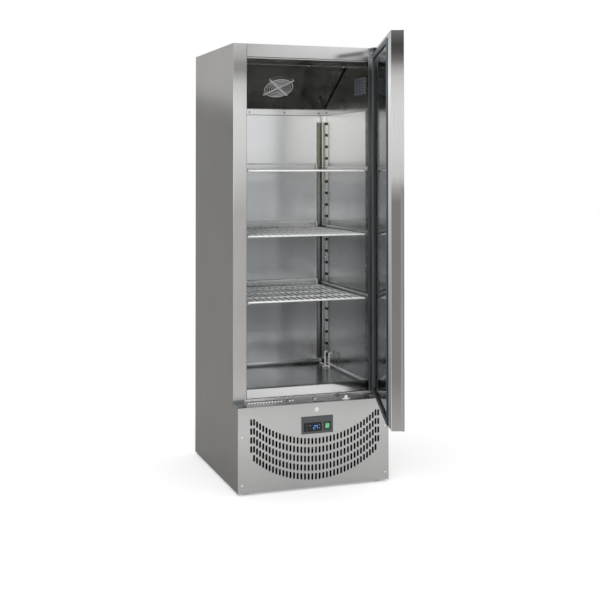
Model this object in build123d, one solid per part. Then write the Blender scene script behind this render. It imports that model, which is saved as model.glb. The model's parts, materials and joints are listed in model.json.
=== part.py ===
from build123d import *
from math import atan2, cos, hypot, radians, sin, tan
import os

# Upright refrigerated cabinet in stainless sheet, with one hinged door standing open.
# Millimetres. X runs to the right, Y to the back and Z up.
# The origin lies on the floor, under the middle of the cabinet's footprint.

# Overall size
width = 685.0
depth = 725.0
height = 1900.0
ground_gap = 10.0
sheet = 1.0  # thickness of every folded sheet
snug = 0.2  # gap between sheets that lie beside each other

# Main planes
side = width / 2
front = -depth / 2  # face of the slotted lower panel
back = depth / 2
frame = front + 75.0  # face of the door frame, set back by the thickness of the door
ledge = 365.0  # top of the machine compartment

# Door frame
opening_half = 281.5
sill_bottom = 383.0
sill_top = 427.0
rail_bottom = 1843.0
fold = 8.0  # depth of the frame's inner return
bend = 2.5
sill_depth = 25.0
recess_depth = 14.0  # dark recess under the sill

# Base, rear grille and feet
tray_sheet = 1.5
tray_rim_top = 36.0
foot_x = 300.0
foot_y = 320.0
foot_radius = 20.0
foot_height = 6.0
foot_stud = 5.0
foot_stud_top = 30.0
grille_columns = (-170.0, 0.0, 170.0)
grille_rows = 8
grille_first_z = 120.0
grille_pitch = 28.0
grille_slot = (130.0, 8.0)

# Lined storage space
liner_half = 290.0
liner_back = frame + 595.0
liner_floor = 408.0
liner_top = 1838.5
cove = 20.0
band_z = (1622.0, 1652.0)  # flange that runs round the walls under the evaporator space

# Shelf supports
pilaster_face = 283.5
pilaster_width = 32.0
pilaster_front_y = frame + 25.0
pilaster_rear_y = frame + 556.0
slot_first_z = 453.0
slot_pitch = 56.5
slot_count = 21
slot_size = (5.0, 12.0)
shelf_slots = (6, 11, 16)  # slots that carry the three shelves
runner_floor_width = 20.0  # lower flange, under the shelf
runner_lip_width = 15.0  # upper flange, which keeps the shelf from tipping
runner_height = 24.0
runner_sheet = 1.2
runner_y = (frame + 16.0, frame + 572.0)

# Wire shelves
shelf_half = 271.0
shelf_y = (frame + 22.0, frame + 574.0)
rim_radius = 3.0
front_rod_radius = 4.0
wire_radius = 2.0
wire_pitch = 29.0
wire_count = 19
stop_height = 31.0
stop_half = 254.0
stop_y = frame + 582.0

# Door, drawn shut and then swung open about its pins
door_face = frame - 67.2
door_rim = frame - 16.5  # where the skin ends and the raised inner pan begins
door_pan = frame - 7.3
pan_border = 3.0  # flat edge round the raised pan
pan_bevel = 10.0
door_z = (371.0, 1895.0)
hinge_x = side - 19.5
hinge_y = frame - 39.0
door_open_angle = 71.4
pin_radius = 5.0
bush_bore = 5.05
bush_radius = 9.0
bush_length = 26.0
gasket_x = (-328.5, 320.5)
gasket_z = (387.0, 1868.0)
gasket_width = 20.0
gasket_gap = 0.3
door_inset = 0.6
door_bend = 3.0
hinge_plate_x = (284.0, 341.0)
hinge_plate_y = (hinge_y - 15.0, frame)
hinge_plate_sheet = 3.0
sensor_x = 157.0
sensor_y = frame - 40.0

# Evaporator cover, a sloping plate from the ceiling down to the back wall
cover_top = (frame + 288.0, liner_top)
cover_bottom = (frame + 575.0, 1655.0)
cover_half = 288.5
cover_flange = 26.0
cover_vent = (10.0, 4.0)
cover_vent_pitch = 17.5
cover_vent_count = 32
cover_slope = atan2(cover_top[1] - cover_bottom[1], cover_bottom[0] - cover_top[0])
fan_x = 1.5
fan_y = frame + 426.0
fan_z = cover_top[1] - (fan_y - cover_top[0]) * tan(cover_slope)
fan_opening = 59.0
fan_radius = 53.0
fan_hub = (16.0, 15.0)  # radius and length
fan_setback = 26.0  # from the cover to the back of the hub
fan_motor = (25.0, 32.0)
fan_motor_setback = 62.0
fan_arm = 1.8
guard_rings = (56.0, 45.0, 34.0, 23.0, 12.0)
guard_outer_ring = 67.5
guard_wire = 1.5
guard_lift = 9.0
guard_strut = (170.0, 6.5, 2.2)  # length, width and the wire's own width
guard_strut_lift = 6.2
evaporator_z = (1752.0, liner_top - 0.2)
evaporator_y = (frame + 512.0, frame + 588.0)
evaporator_half = 235.0
probe_x = 241.0
probe_y = frame + 498.0
probe_radius = 3.5

# Lower panel
slot_columns = 39
slot_rows = 5
panel_slot = (9.0, 28.0)
smile_radius = 432.0
smile_step = 2.21  # degrees between columns
smile_x = 4.0
smile_z = 203.5
row_pitch = 37.4
lock_x = 6.5
lock_z = 338.0
cam_reach = 47.0
cam_y = (front + 22.0, front + 24.0)
plate_x = (-62.3, 81.3)
plate_z = (235.8, 309.4)
controller_x = (-51.8, 29.0)
controller_z = (246.5, 283.0)
controller_body = (70.8, 28.2)
controller_hole = (71.4, 29.4)
rocker_x = 55.0
rocker_z = 265.5
rocker_y = front + 6.5
rocker_tilt = 8.0
rocker_shell = (32.0, 35.0)  # width and height of the raised frame round the rocker
axle_radius = 1.5
plate_thickness = 2.0
bezel_thickness = 2.5
window_x = (-31.5, 23.0)
window_z = (251.5, 278.0)
key_x = -38.5
key_z = (255.0, 271.5)

# Machine compartment
condenser_x = (70.0, 300.0)
condenser_y = (-322.0, -270.0)
condenser_z = (40.0, 235.0)
condenser_rows = 7
condenser_columns = 2
condenser_tube = 5.0
condenser_fan_x = 185.0
condenser_fan_z = 137.0
condenser_fan_radius = 78.0
condenser_fan_hub = (22.0, 20.0)
shroud_opening = 86.0
condenser_motor_size = (40.0, 44.0)
condenser_motor_setback = 70.0
compressor_x = -150.0
compressor_y = 90.0
compressor_radius = 82.0
compressor_z = (34.0, 199.0)
pipe_z = 150.0
pipe_radius = 4.0
drier_x = 30.0
drier_radius = 11.0
ledge_hole_first_x = -286.0
ledge_hole_pitch = 13.0
ledge_hole_count = 43
ledge_hole_y = frame - 8.0
ledge_hole_radius = 3.6
cap_x = (-341.0, -291.0)  # dark cap over the recess's left end
gland_x = 260.0
gland_z = 60.0
gland_radius = 9.0
gland_bore = 4.6
gland_nut = 12.0

os.makedirs("parts", exist_ok=True)


# Helpers
def block(x, y, z):
    centre = (sum(x) / 2, sum(y) / 2, sum(z) / 2)
    return Pos(*centre) * Box(x[1] - x[0], y[1] - y[0], z[1] - z[0])


def both(half, y, z):
    return block((-half, half), y, z)


def rod(start, end, radius):
    run = Vector(*end) - Vector(*start)
    align = (Align.CENTER, Align.CENTER, Align.MIN)
    return Plane(origin=start, z_dir=run) * Cylinder(radius, run.length, align=align)


def left_and_right(shape):
    return shape + mirror(shape, about=Plane.YZ)


def wire(points, radius, corner):
    path = FilletPolyline(*points, radius=corner)
    section = Plane(origin=path @ 0, z_dir=path % 0) * Circle(radius)
    return sweep(section, path=path)


def frame_ring(x, y, z, band):
    inner_x = (x[0] + band, x[1] - band)
    inner_z = (z[0] + band, z[1] - band)
    return block(x, y, z) - block(inner_x, (y[0] - 1, y[1] + 1), inner_z)


def on_cover(x, y_world, lift):
    # point at a height above the cover's face, measured square to it
    z_world = cover_top[1] - (y_world - cover_top[0]) * tan(cover_slope)
    return (x, y_world - lift * sin(cover_slope), z_world - lift * cos(cover_slope))


def cover_plane(x, y_world):
    toward_room = (0, -sin(cover_slope), -cos(cover_slope))
    return Plane(origin=on_cover(x, y_world, 0), x_dir=(1, 0, 0), z_dir=toward_room)


def slot_z(index):
    return slot_first_z + slot_pitch * index


def save(name, shape):
    export_step(shape, f"parts/{name}.step")


# Fixing screws: places and directions, used for the heads and for the holes they need
screw_shank = 2.0
screw_hole = 2.1
panel_screws = [(x, front, z) for x in (-side + 17.5, side - 17.5) for z in (44.0, 245.0)]
band_mid = sum(band_z) / 2
band_thickness = 1.5
band_back_screws = [(x, liner_back - band_thickness, band_mid) for x in (-268.0, -89.0, 89.0, 268.0)]
band_side_y = (frame + 60.0, frame + 300.0, frame + 545.0)
band_side_screws = [(liner_half - band_thickness, y, band_mid) for y in band_side_y]
cover_screws = [(x, cover_top[0] - 16.0, liner_top - 1.1) for x in (-265.0, 99.0, 272.0)]
rivet_head = 3.0
room_side = (0, sin(cover_slope), cos(cover_slope))  # from the room into the cover
cover_rivets = [on_cover(x, y, sheet / 2) for x, y in ((241.0, frame + 325.0), (271.0, frame + 327.0))]
pilaster_screws = [
    (pilaster_face, y, z)
    for y in (pilaster_front_y + 9.0, pilaster_rear_y - 9.0)
    for z in (932.0, 1126.0, 500.0, 1560.0)
]
hinge_screws = [(x, frame - 3.0, 1880.0) for x in (293.0, 331.0)]


def screw(place, inward, length, head=4.5):
    tip = Vector(*place) + Vector(*inward) * length
    shank = rod(place, tuple(tip), screw_shank)
    dome_plane = Plane(origin=place, z_dir=-Vector(*inward))
    dome = dome_plane * Cylinder(head, 2.0, align=(Align.CENTER, Align.CENTER, Align.MIN))
    dome = fillet(dome.edges().sort_by_distance(tuple(Vector(*place) - Vector(*inward) * 2.0))[0], 1.4)
    return dome + shank


def screw_holes(places, inward, length):
    holes = []
    for place in places:
        start = Vector(*place) - Vector(*inward)
        end = Vector(*place) + Vector(*inward) * length
        holes.append(rod(tuple(start), tuple(end), screw_hole))
    return holes


def both_sides(places):
    return places + [(-x, y, z) for x, y, z in places]


# Outer casing
foot_places = [(x, y) for x in (-foot_x, foot_x) for y in (-foot_y, foot_y)]
tray_top = ground_gap + tray_sheet


def base_tray():
    floor = both(side - sheet, (front + 2 * sheet + snug, back - sheet), (ground_gap, tray_top))
    rim_z = (tray_top, tray_rim_top)
    tray = floor + both(side - sheet, (back - sheet - tray_sheet, back - sheet), rim_z)
    tray += left_and_right(block((side - sheet - tray_sheet, side - sheet), (frame, back - sheet), rim_z))
    for x, y in foot_places:
        tray -= Pos(x, y, ground_gap) * Cylinder(foot_stud + 0.05, 10)
    return tray


def levelling_feet():
    feet = []
    for x, y in foot_places:
        pad = Pos(x, y, foot_height / 2) * Cylinder(foot_radius, foot_height)
        pad = fillet(pad.edges().group_by(Axis.Z)[-1], 1.5)
        feet.append(pad + rod((x, y, foot_height), (x, y, foot_stud_top), foot_stud))
    return Compound(children=feet)


def side_panel():
    # right-hand side, one sheet with the front stile and its inner return
    stile_z = (sill_bottom, height)
    outer = block((opening_half, side), (frame, back), stile_z)
    outer = fillet(outer.edges().filter_by(Axis.Z).group_by(Axis.Y)[0], bend)
    hollow_x = (opening_half + sheet, side - sheet)
    hollow = block(hollow_x, (frame + sheet, back + 5), (sill_bottom - 1, height + 1))
    hollow = fillet(hollow.edges().filter_by(Axis.Z).group_by(Axis.Y)[0], bend - sheet)
    panel = outer - hollow
    panel -= block((opening_half - 1, side - sheet), (frame + fold, back + 1), (0, height + 1))
    panel += block((opening_half, liner_half), (frame + fold - sheet, frame + fold), stile_z)
    top_panel_z = (height - sheet - 0.1, height + 1)
    panel -= block((opening_half - 1, side - sheet), (frame + sheet + 0.1, back + 1), top_panel_z)
    closing_x = (opening_half + sheet, side - sheet)
    panel += block(closing_x, (frame + sheet, frame + recess_depth), (sill_bottom, sill_bottom + sheet))
    panel += block((side - sheet, side), (frame, back), (ground_gap, sill_bottom))
    panel += block((side - sheet, side), (front + sheet, frame), (ground_gap, ledge))
    panel += block((side - 27, side - sheet), (front + sheet, front + 2 * sheet), (ground_gap, ledge - 3))
    for hole in screw_holes([place for place in panel_screws if place[0] > 0], (0, 1, 0), 6):
        panel -= hole
    return panel


def top_panel():
    sheet_y = (frame + sheet + snug, back - sheet)
    panel = both(side - sheet, sheet_y, (height - sheet, height))
    return fillet(panel.edges().filter_by(Axis.Z).group_by(Axis.Y)[0], bend)


def back_panel():
    return both(side - sheet, (back - sheet, back), (ledge + 1.5, height))


def rear_grille():
    grille = both(side - sheet - snug, (back - sheet, back), (ground_gap + 2, ledge - 2))
    for column in grille_columns:
        for row in range(grille_rows):
            place = Pos(column, grille_first_z + grille_pitch * row)
            cut = extrude(Plane.XZ * place * SlotOverall(*grille_slot), amount=10, both=True)
            grille -= Pos(0, back, 0) * cut
    return grille - Pos(gland_x, back, gland_z) * Rot(X=90) * Cylinder(gland_radius + 0.1, 10)


def top_rail():
    half = opening_half - snug
    outer = both(half, (frame, frame + fold), (rail_bottom, height))
    outer = fillet(outer.edges().filter_by(Axis.X).group_by(Axis.Z)[0].sort_by(Axis.Y)[0], bend)
    hollow = both(half + 1, (frame + sheet, frame + fold + 1), (rail_bottom + sheet, height + 1))
    hollow = fillet(hollow.edges().filter_by(Axis.X).group_by(Axis.Z)[0].sort_by(Axis.Y)[0], bend - sheet)
    # the return runs on down to the ceiling of the liner
    return outer - hollow + both(half, (frame + fold - sheet, frame + fold), (liner_top, rail_bottom + sheet))


def sill():
    half = opening_half - snug
    top_bend = 3.0
    lip_bend = 4.0

    def rounded(shape, inset):
        edges = shape.edges().filter_by(Axis.X)
        shape = fillet(edges.group_by(Axis.Z)[-1].sort_by(Axis.Y)[0], top_bend - inset)
        edges = shape.edges().filter_by(Axis.X)
        return fillet(edges.group_by(Axis.Z)[0].sort_by(Axis.Y)[0], lip_bend - inset)

    outer = rounded(both(half, (frame, frame + 12), (sill_bottom, sill_top)), 0)
    hollow_z = (sill_bottom + sheet, sill_top - sheet)
    hollow = rounded(both(half + 1, (frame + sheet, frame + 14), hollow_z), sheet)
    shape = outer - hollow
    wide = liner_half - snug
    shape += both(half, (frame + 12, frame + recess_depth), (sill_bottom, sill_bottom + sheet))
    shape += both(half, (frame + fold, frame + 12), (sill_top - sheet, sill_top))
    shape += both(wide, (frame + fold + snug, frame + sill_depth), (sill_top - sheet, sill_top))
    shape += both(wide, (frame + sill_depth - sheet, frame + sill_depth), (liner_floor, sill_top))
    foot_y = (frame + recess_depth - sheet, frame + recess_depth)
    return shape + both(side - sheet - snug, foot_y, (ledge, sill_bottom))


def body_foam():
    outer_half = side - sheet - 0.6
    rear = back - sheet - 0.6
    foam = both(outer_half, (frame + fold + 0.6, rear), (sill_bottom + 1.6, height - sheet - 0.6))
    stile_core_x = (liner_half + 1.7, outer_half)
    stile_core_y = (frame + sheet + 0.6, frame + fold + 0.6)
    foam += left_and_right(block(stile_core_x, stile_core_y, (sill_bottom + 1.6, height - sheet - 0.6)))
    foam += both(outer_half, (frame + recess_depth + 0.6, rear), (ledge + 0.3, sill_bottom + 1.6))
    space_y = (frame, liner_back + sheet + 0.7)
    foam -= both(liner_half + 1.7, space_y, (liner_floor - sheet - 0.7, liner_top + sheet + 0.7))
    return foam - both(liner_half + 1.7, (frame, frame + sill_depth + 0.6), (sill_bottom - 1, sill_top + 2))


# Liner
def liner_side():
    wall_z = (liner_floor - sheet, liner_top)
    wall = block((liner_half, liner_half + sheet), (frame + fold, liner_back), wall_z)
    for hole in screw_holes(band_side_screws + pilaster_screws, (1, 0, 0), 12):
        wall -= hole
    return wall


def liner_back_wall():
    wall = both(liner_half + sheet, (liner_back, liner_back + sheet), (liner_floor - sheet, liner_top))
    for hole in screw_holes(band_back_screws, (0, 1, 0), 5):
        wall -= hole
    return wall


def liner_ceiling():
    y = (frame + fold, liner_back + sheet)
    ceiling = both(liner_half + sheet, y, (liner_top, liner_top + sheet))
    for hole in screw_holes(cover_screws, (0, 0, 1), 5):
        ceiling -= hole
    return ceiling


def liner_floor_tray():
    half = liner_half - 0.1
    tray = both(half, (frame + sill_depth, liner_back - 0.1), (liner_floor - sheet, liner_floor + cove))
    basin = both(half - sheet, (frame, liner_back - 0.1 - sheet), (liner_floor, liner_floor + 2 * cove))
    floor_edges = basin.edges().group_by(Axis.Z)[0]
    rim = floor_edges.sort_by(Axis.Y)[1:]
    corners = basin.edges().filter_by(Axis.Z).group_by(Axis.Y)[-1]
    return tray - fillet(rim + corners, cove - 1.0)


def wall_band():
    inner = liner_half - band_thickness
    outer_box = both(liner_half - 0.05, (frame + 12, liner_back - 0.05), band_z)
    band = outer_box - both(inner, (frame, liner_back - band_thickness), (0, height))
    for hole in screw_holes(band_back_screws, (0, 1, 0), 5):
        band -= hole
    for hole in screw_holes(band_side_screws, (1, 0, 0), 5):
        band -= hole
    for hole in screw_holes([(-x, y, z) for x, y, z in band_side_screws], (-1, 0, 0), 5):
        band -= hole
    return band


def fixing_screws():
    screws = [screw(place, (0, 1, 0), 5.0, head=5.0) for place in panel_screws]
    screws += [screw(place, (0, 1, 0), 2.9, head=3.5) for place in band_back_screws]
    screws += [screw(place, (0, 0, 1), 2.5) for place in cover_screws]
    screws += [screw(place, room_side, 2.5, head=rivet_head) for place in cover_rivets]
    screws += [screw(place, (0, 1, 0), 4.4) for place in hinge_screws]
    for sign in (1, -1):
        for x, y, z in band_side_screws:
            screws.append(screw((sign * x, y, z), (sign, 0, 0), 2.9, head=3.5))
        for x, y, z in pilaster_screws:
            screws.append(screw((sign * x, y, z), (sign, 0, 0), 8.0, head=3.0))
    return Compound(children=screws)


# Shelves and what carries them
def pilaster(centre_y):
    y = (centre_y - pilaster_width / 2, centre_y + pilaster_width / 2)
    z = (432.0, band_z[0] - 2.0)
    strip = block((pilaster_face, liner_half), y, z)
    strip -= block((pilaster_face + 1.2, liner_half + 1), (y[0] + 1.2, y[1] - 1.2), (0, height))
    for index in range(slot_count):
        low = slot_z(index) - slot_size[1] / 2
        slot_y = (centre_y - slot_size[0] / 2, centre_y + slot_size[0] / 2)
        strip -= block((pilaster_face - 1, pilaster_face + 2), slot_y, (low, low + slot_size[1]))
    for hole in screw_holes(pilaster_screws, (1, 0, 0), 3):
        strip -= hole
    return strip


def runner_z(index):
    low = slot_z(index) - 6.5
    return (low, low + runner_height)


def runner(index):
    # channel that the shelf's side wire slides in, hooked into the pilaster slots
    outer = pilaster_face - 0.2
    low, high = runner_z(index)
    channel = block((outer - runner_sheet, outer), runner_y, (low, high))
    channel += block((outer - runner_floor_width, outer), runner_y, (low, low + runner_sheet))
    channel += block((outer - runner_lip_width, outer), runner_y, (high - runner_sheet, high))
    for y in (pilaster_front_y, pilaster_rear_y):
        tongue_y = (y - 1.5, y + 1.5)
        channel += block((outer - 0.5, pilaster_face + 3.5), tongue_y, (slot_z(index) - 5, slot_z(index) + 5))
    return channel


def shelf_rim_z(index):
    return runner_z(index)[0] + runner_sheet + 0.3 + rim_radius


def shelf(index):
    # welded grid of long wires on cross wires, with a thick front rod
    rim_z = shelf_rim_z(index)
    rim_half = shelf_half - rim_radius

    def across(y, half, z, radius):
        return rod((-half, y, z), (half, y, z), radius)

    def along(x, y, z, radius):
        return rod((x, y[0], z), (x, y[1], z), radius)

    front_rod = across(shelf_y[0], rim_half + 2.5, rim_z + 1.0, front_rod_radius)
    rim = [along(x, (shelf_y[0], shelf_y[1] + 4.0), rim_z, rim_radius) for x in (-rim_half, rim_half)]
    rim += [across(shelf_y[0] + 158.0 * step, rim_half, rim_z, rim_radius - 0.5) for step in (1, 2, 3)]
    rim.append(across(shelf_y[1], rim_half - 0.5, rim_z, rim_radius - 0.4))
    first_x = -wire_pitch * (wire_count - 1) / 2
    wire_y = (shelf_y[0] + 1.0, shelf_y[1] + 1.5)
    wires = [
        along(first_x + wire_pitch * column, wire_y, rim_z + 3.2, wire_radius)
        for column in range(wire_count)
    ]
    return front_rod.fuse(*rim).fuse(*wires)


def shelf_stop(index):
    # upstand behind the shelf, one bent wire standing on the rear rod
    foot = shelf_rim_z(index)
    top = foot + stop_height
    rear_rod = shelf_y[1] + rim_radius - 0.4
    points = [
        (-stop_half, rear_rod, foot),
        (-stop_half, stop_y, foot),
        (-stop_half, stop_y, top),
        (stop_half, stop_y, top),
        (stop_half, stop_y, foot),
        (stop_half, rear_rod, foot),
    ]
    return wire(points, 2.5, 4.0)


def spare_clips():
    # loose wire bracket with two prongs, standing on the floor in the rear right corner
    base_z = liner_floor + 4.3
    base = rod((265.0, frame + 442.0, base_z), (265.0, frame + 566.0, base_z), 4.0)
    for y in (frame + 446.0, frame + 500.0):
        prong = wire([(265.0, y, base_z), (265.0, y, base_z + 66.0), (276.0, y, base_z + 66.0)], 3.2, 6.0)
        base += prong
    foot = rod((265.0, frame + 470.0, base_z), (240.0, frame + 470.0, base_z), 3.0)
    return base + foot


# Evaporator space
def evaporator_cover():
    length = hypot(cover_bottom[0] - cover_top[0], cover_top[1] - cover_bottom[1])
    middle_y = (cover_top[0] + cover_bottom[0]) / 2
    under_ceiling = 1.1
    plane = cover_plane(0, middle_y)
    plate = plane * Pos(0, 0, -sheet / 2) * Box(2 * cover_half, length, sheet)
    plate -= both(cover_half + 1, (frame, liner_back), (liner_top - 0.1, height))
    flange_z = (liner_top - under_ceiling, liner_top - 0.1)
    plate += both(cover_half, (cover_top[0] - cover_flange, cover_top[0] + 5), flange_z)
    foot_z = (cover_bottom[1] - 0.5, cover_bottom[1] + 0.5)
    plate += both(cover_half, (cover_bottom[0] - 3, liner_back - 0.2), foot_z)
    plate -= cover_plane(fan_x, fan_y) * Cylinder(fan_opening, 10)
    plate -= cover_plane(probe_x, probe_y) * Cylinder(probe_radius + 0.7, 10)
    vent_row = Plane(plane.location) * Pos(0, -length / 2 + 8, 0)
    first_x = -cover_vent_pitch * (cover_vent_count - 1) / 2
    for column in range(cover_vent_count):
        plate -= vent_row * Pos(first_x + cover_vent_pitch * column, 0, 0) * Box(*cover_vent, 6.0)
    for hole in screw_holes(cover_screws, (0, 0, 1), 5) + screw_holes(cover_rivets, room_side, 5):
        plate -= hole
    return plate


def fan_guard():
    # rings of wire on two crossing struts, each strut a long flattened loop
    length, loop_width, strand = guard_strut
    outer_ring = Pos(0, 0, guard_lift) * Torus(guard_outer_ring, guard_wire + 0.5)
    wires = [Pos(0, 0, guard_lift) * Torus(radius, guard_wire) for radius in guard_rings]
    for angle in (45, 135):
        loop = SlotOverall(length, loop_width) - SlotOverall(length - 2 * strand, loop_width - 2 * strand)
        wires.append(Pos(0, 0, guard_strut_lift) * extrude(Rot(Z=angle) * loop, amount=guard_wire, both=True))
    guard = outer_ring.fuse(*wires)
    foot_reach = length / 2 - 2.5
    for angle in (45, 135, 225, 315):
        guard += Rot(Z=angle) * rod((foot_reach, 0, 0), (foot_reach, 0, guard_strut_lift), 1.6)
    return cover_plane(fan_x, fan_y) * guard


def axial_fan(radius, hub_radius, hub_length, blades, pitch, bore, bore_depth):
    # blades turn about local Z, with the drive bore opening towards -Z
    fan = Cylinder(hub_radius, hub_length, align=(Align.CENTER, Align.CENTER, Align.MIN))
    fan = fillet(fan.edges().group_by(Axis.Z)[-1], 2.0)
    chord = hub_length * 1.5
    reach = radius - hub_radius + 3
    ring = Cylinder(radius, 6 * hub_length)
    for index in range(blades):
        blade = Pos(hub_radius - 3 + reach / 2, 0, hub_length / 2) * Rot(X=pitch) * Box(reach, chord, 1.6)
        fan += Rot(Z=360 * index / blades) * (blade & ring)
    hole = Cylinder(bore, bore_depth, align=(Align.CENTER, Align.CENTER, Align.MIN))
    return fan - hole


def evaporator_fan():
    blades = axial_fan(fan_radius, *fan_hub, blades=5, pitch=32, bore=2.55, bore_depth=10.0)
    return cover_plane(fan_x, fan_y) * Pos(0, 0, -fan_setback) * blades


def evaporator_motor():
    body_radius, body_length = fan_motor
    front_z = body_length - fan_motor_setback
    motor = rod((0, 0, -fan_motor_setback), (0, 0, front_z), body_radius)
    motor = fillet(motor.edges().filter_by(GeomType.CIRCLE), 3.0)
    motor += rod((0, 0, front_z - 1), (0, 0, 9 - fan_setback), 2.5)
    ring_radius = fan_opening + 3.0
    motor += Pos(0, 0, -2.1) * (Cylinder(ring_radius + 2, 2.0) - Cylinder(ring_radius - 2, 4.0))
    arm_z = 16 - fan_motor_setback
    for angle in (90, 210, 330):
        arm = rod((ring_radius, 0, -2), (ring_radius, 0, arm_z - 1), fan_arm)
        arm += rod((ring_radius + 1, 0, arm_z), (body_radius - 3, 0, arm_z), fan_arm)
        motor += Rot(Z=angle) * arm
    return cover_plane(fan_x, fan_y) * motor


def finned_block(x, y, z, fin_count, tube_rows, tube_columns, tube_radius):
    # fins across X, joined by tubes that run along X, between two end plates
    coil = block((x[0], x[0] + 1.5), y, z) + block((x[1] - 1.5, x[1]), y, z)
    tubes = []
    for row in range(tube_rows):
        for column in range(tube_columns):
            tube_y = y[0] + (y[1] - y[0]) * (column + 0.5) / tube_columns
            tube_z = z[0] + (z[1] - z[0]) * (row + 0.5) / tube_rows
            tubes.append(rod((x[0], tube_y, tube_z), (x[1], tube_y, tube_z), tube_radius))
    fins = []
    for index in range(fin_count):
        fin_x = x[0] + (x[1] - x[0]) * (index + 1) / (fin_count + 1)
        fins.append(block((fin_x - 0.4, fin_x + 0.4), y, z))
    return coil.fuse(*tubes, *fins)


def evaporator_coil():
    x = (-evaporator_half, evaporator_half)
    return finned_block(x, evaporator_y, evaporator_z, 42, 4, 3, 4.8)


def air_probe():
    # thin rod pushed through the cover, with a collar on the room's side
    probe = rod((0, 0, -26), (0, 0, 11), probe_radius)
    probe += rod((0, 0, 0.0), (0, 0, 3.0), probe_radius + 3)
    return cover_plane(probe_x, probe_y) * probe


def data_plate():
    return block((liner_half - 0.8, liner_half), (frame + 46, frame + 183), (1698.0, 1776.0))


# Door, drawn shut
def door_swung(shape):
    pivot = Pos(hinge_x, hinge_y, 0)
    return pivot * Rot(Z=door_open_angle) * Pos(-hinge_x, -hinge_y, 0) * shape


def sensor_notch():
    # lets the door's bottom edge pass over the sensor
    return block((sensor_x - 17, sensor_x + 20), (sensor_y - 12, frame), (door_z[0] - 1, 386.0))


def cam_pocket(z):
    # lets the lock's tongue turn up through the ledge into the door
    return block((lock_x - 9, lock_x + cam_reach), (cam_y[0] - 2.5, cam_y[1] + 2.5), z)


def door_skin():
    lip_y = (door_face, door_face + 10)
    wrap = both(side, lip_y, door_z)
    wrap = fillet(wrap.edges().filter_by(Axis.Z).group_by(Axis.Y)[0], door_bend)
    inset_z = (door_z[0] + door_inset, door_z[1] - door_inset)
    shell = wrap + both(side - door_inset, (door_face + 5, door_rim - sheet), inset_z)
    hollow_half = side - door_inset - sheet
    hollow_z = (inset_z[0] + sheet, inset_z[1] - sheet)
    shell -= both(hollow_half, (door_face + sheet, door_rim), hollow_z)
    for z in door_z:
        shell -= Pos(hinge_x, hinge_y, z) * Cylinder(bush_radius + 0.05, 20)
    return shell - sensor_notch() - cam_pocket((door_z[0] - 1, door_z[0] + 5))


def door_foam():
    half = side - door_inset - sheet - 0.4
    foam_z = (door_z[0] + 2.2, door_z[1] - 2.2)
    foam = both(half, (door_face + sheet + 0.4, door_rim - sheet - 0.6), foam_z)
    for z in door_z:
        foam -= Pos(hinge_x, hinge_y, z) * Cylinder(bush_radius + 0.4, 2 * bush_length + 8)
    return foam - sensor_notch() - cam_pocket((door_z[0] - 1, 392.0))


def door_inner_panel():
    flange_half = side - door_inset
    flange_z = (door_z[0] + door_inset, door_z[1] - door_inset)
    middle_z = sum(door_z) / 2
    base_size = (2 * (flange_half - pan_border), flange_z[1] - flange_z[0] - 2 * pan_border)
    top_size = (base_size[0] - 2 * pan_bevel, base_size[1] - 2 * pan_bevel)
    base = Plane(origin=(0, door_rim, middle_z), x_dir=(1, 0, 0), z_dir=(0, 1, 0)) * Rectangle(*base_size)
    top = Plane(origin=(0, door_pan, middle_z), x_dir=(1, 0, 0), z_dir=(0, 1, 0)) * Rectangle(*top_size)
    raised = loft([base, top])
    panel = both(flange_half, (door_rim - sheet, door_rim), flange_z) + raised
    panel -= Pos(0, -sheet, 0) * raised
    return panel - sensor_notch()


def door_gasket():
    # magnet head on a bellows neck and a clipped-in base
    base_y = (door_pan, door_pan + 2.0)
    neck_y = (door_pan + 2.0, door_pan + 4.0)
    base = frame_ring(gasket_x, base_y, gasket_z, gasket_width)

    def stepped(inset, y):
        x = (gasket_x[0] + inset, gasket_x[1] - inset)
        z = (gasket_z[0] + inset, gasket_z[1] - inset)
        return frame_ring(x, y, z, gasket_width - 2 * inset)

    neck = stepped(6.0, neck_y)
    head = stepped(1.5, (neck_y[1], frame - gasket_gap))
    return base + neck + head


def hinge_bushes():
    bore = rod((0, 0, -4), (0, 0, bush_length + 1), bush_bore)
    ring = rod((0, 0, 0), (0, 0, bush_length), bush_radius) - bore
    thrust = rod((0, 0, -2.7), (0, 0, 0), bush_radius + 2) - bore
    lower = Pos(hinge_x, hinge_y, door_z[0]) * (ring + thrust)
    upper = Pos(hinge_x, hinge_y, door_z[1] - bush_length) * ring
    return Compound(children=[lower, upper])


# Hinge brackets on the cabinet
def hinge_plate(z):
    plate = block(hinge_plate_x, hinge_plate_y, z)
    return fillet(plate.edges().filter_by(Axis.Z).group_by(Axis.Y)[0], 12.0)


def hinge_top():
    plate_z = (height - 0.7 - hinge_plate_sheet, height - 0.7)
    bracket = hinge_plate(plate_z)
    bracket += block(hinge_plate_x, (frame - hinge_plate_sheet, frame), (1871.0, plate_z[1]))
    for hole in screw_holes(hinge_screws, (0, 1, 0), 6):
        bracket -= hole
    return bracket + rod((hinge_x, hinge_y, 1872.0), (hinge_x, hinge_y, plate_z[0] + 1), pin_radius)


def hinge_bottom():
    plate_z = (ledge, ledge + hinge_plate_sheet)
    bracket = hinge_plate(plate_z)
    return bracket + rod((hinge_x, hinge_y, plate_z[0]), (hinge_x, hinge_y, 394.0), pin_radius)


# Ledge under the door
def ledge_plate():
    plate = both(side - sheet - snug, (front + 12.2, back - sheet - snug), (ledge - sheet, ledge))
    for index in range(ledge_hole_count):
        x = ledge_hole_first_x + ledge_hole_pitch * index
        plate -= Pos(x, ledge_hole_y, ledge) * Cylinder(ledge_hole_radius, 10)
    return plate - cam_pocket((ledge - 5, ledge + 5))


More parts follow.
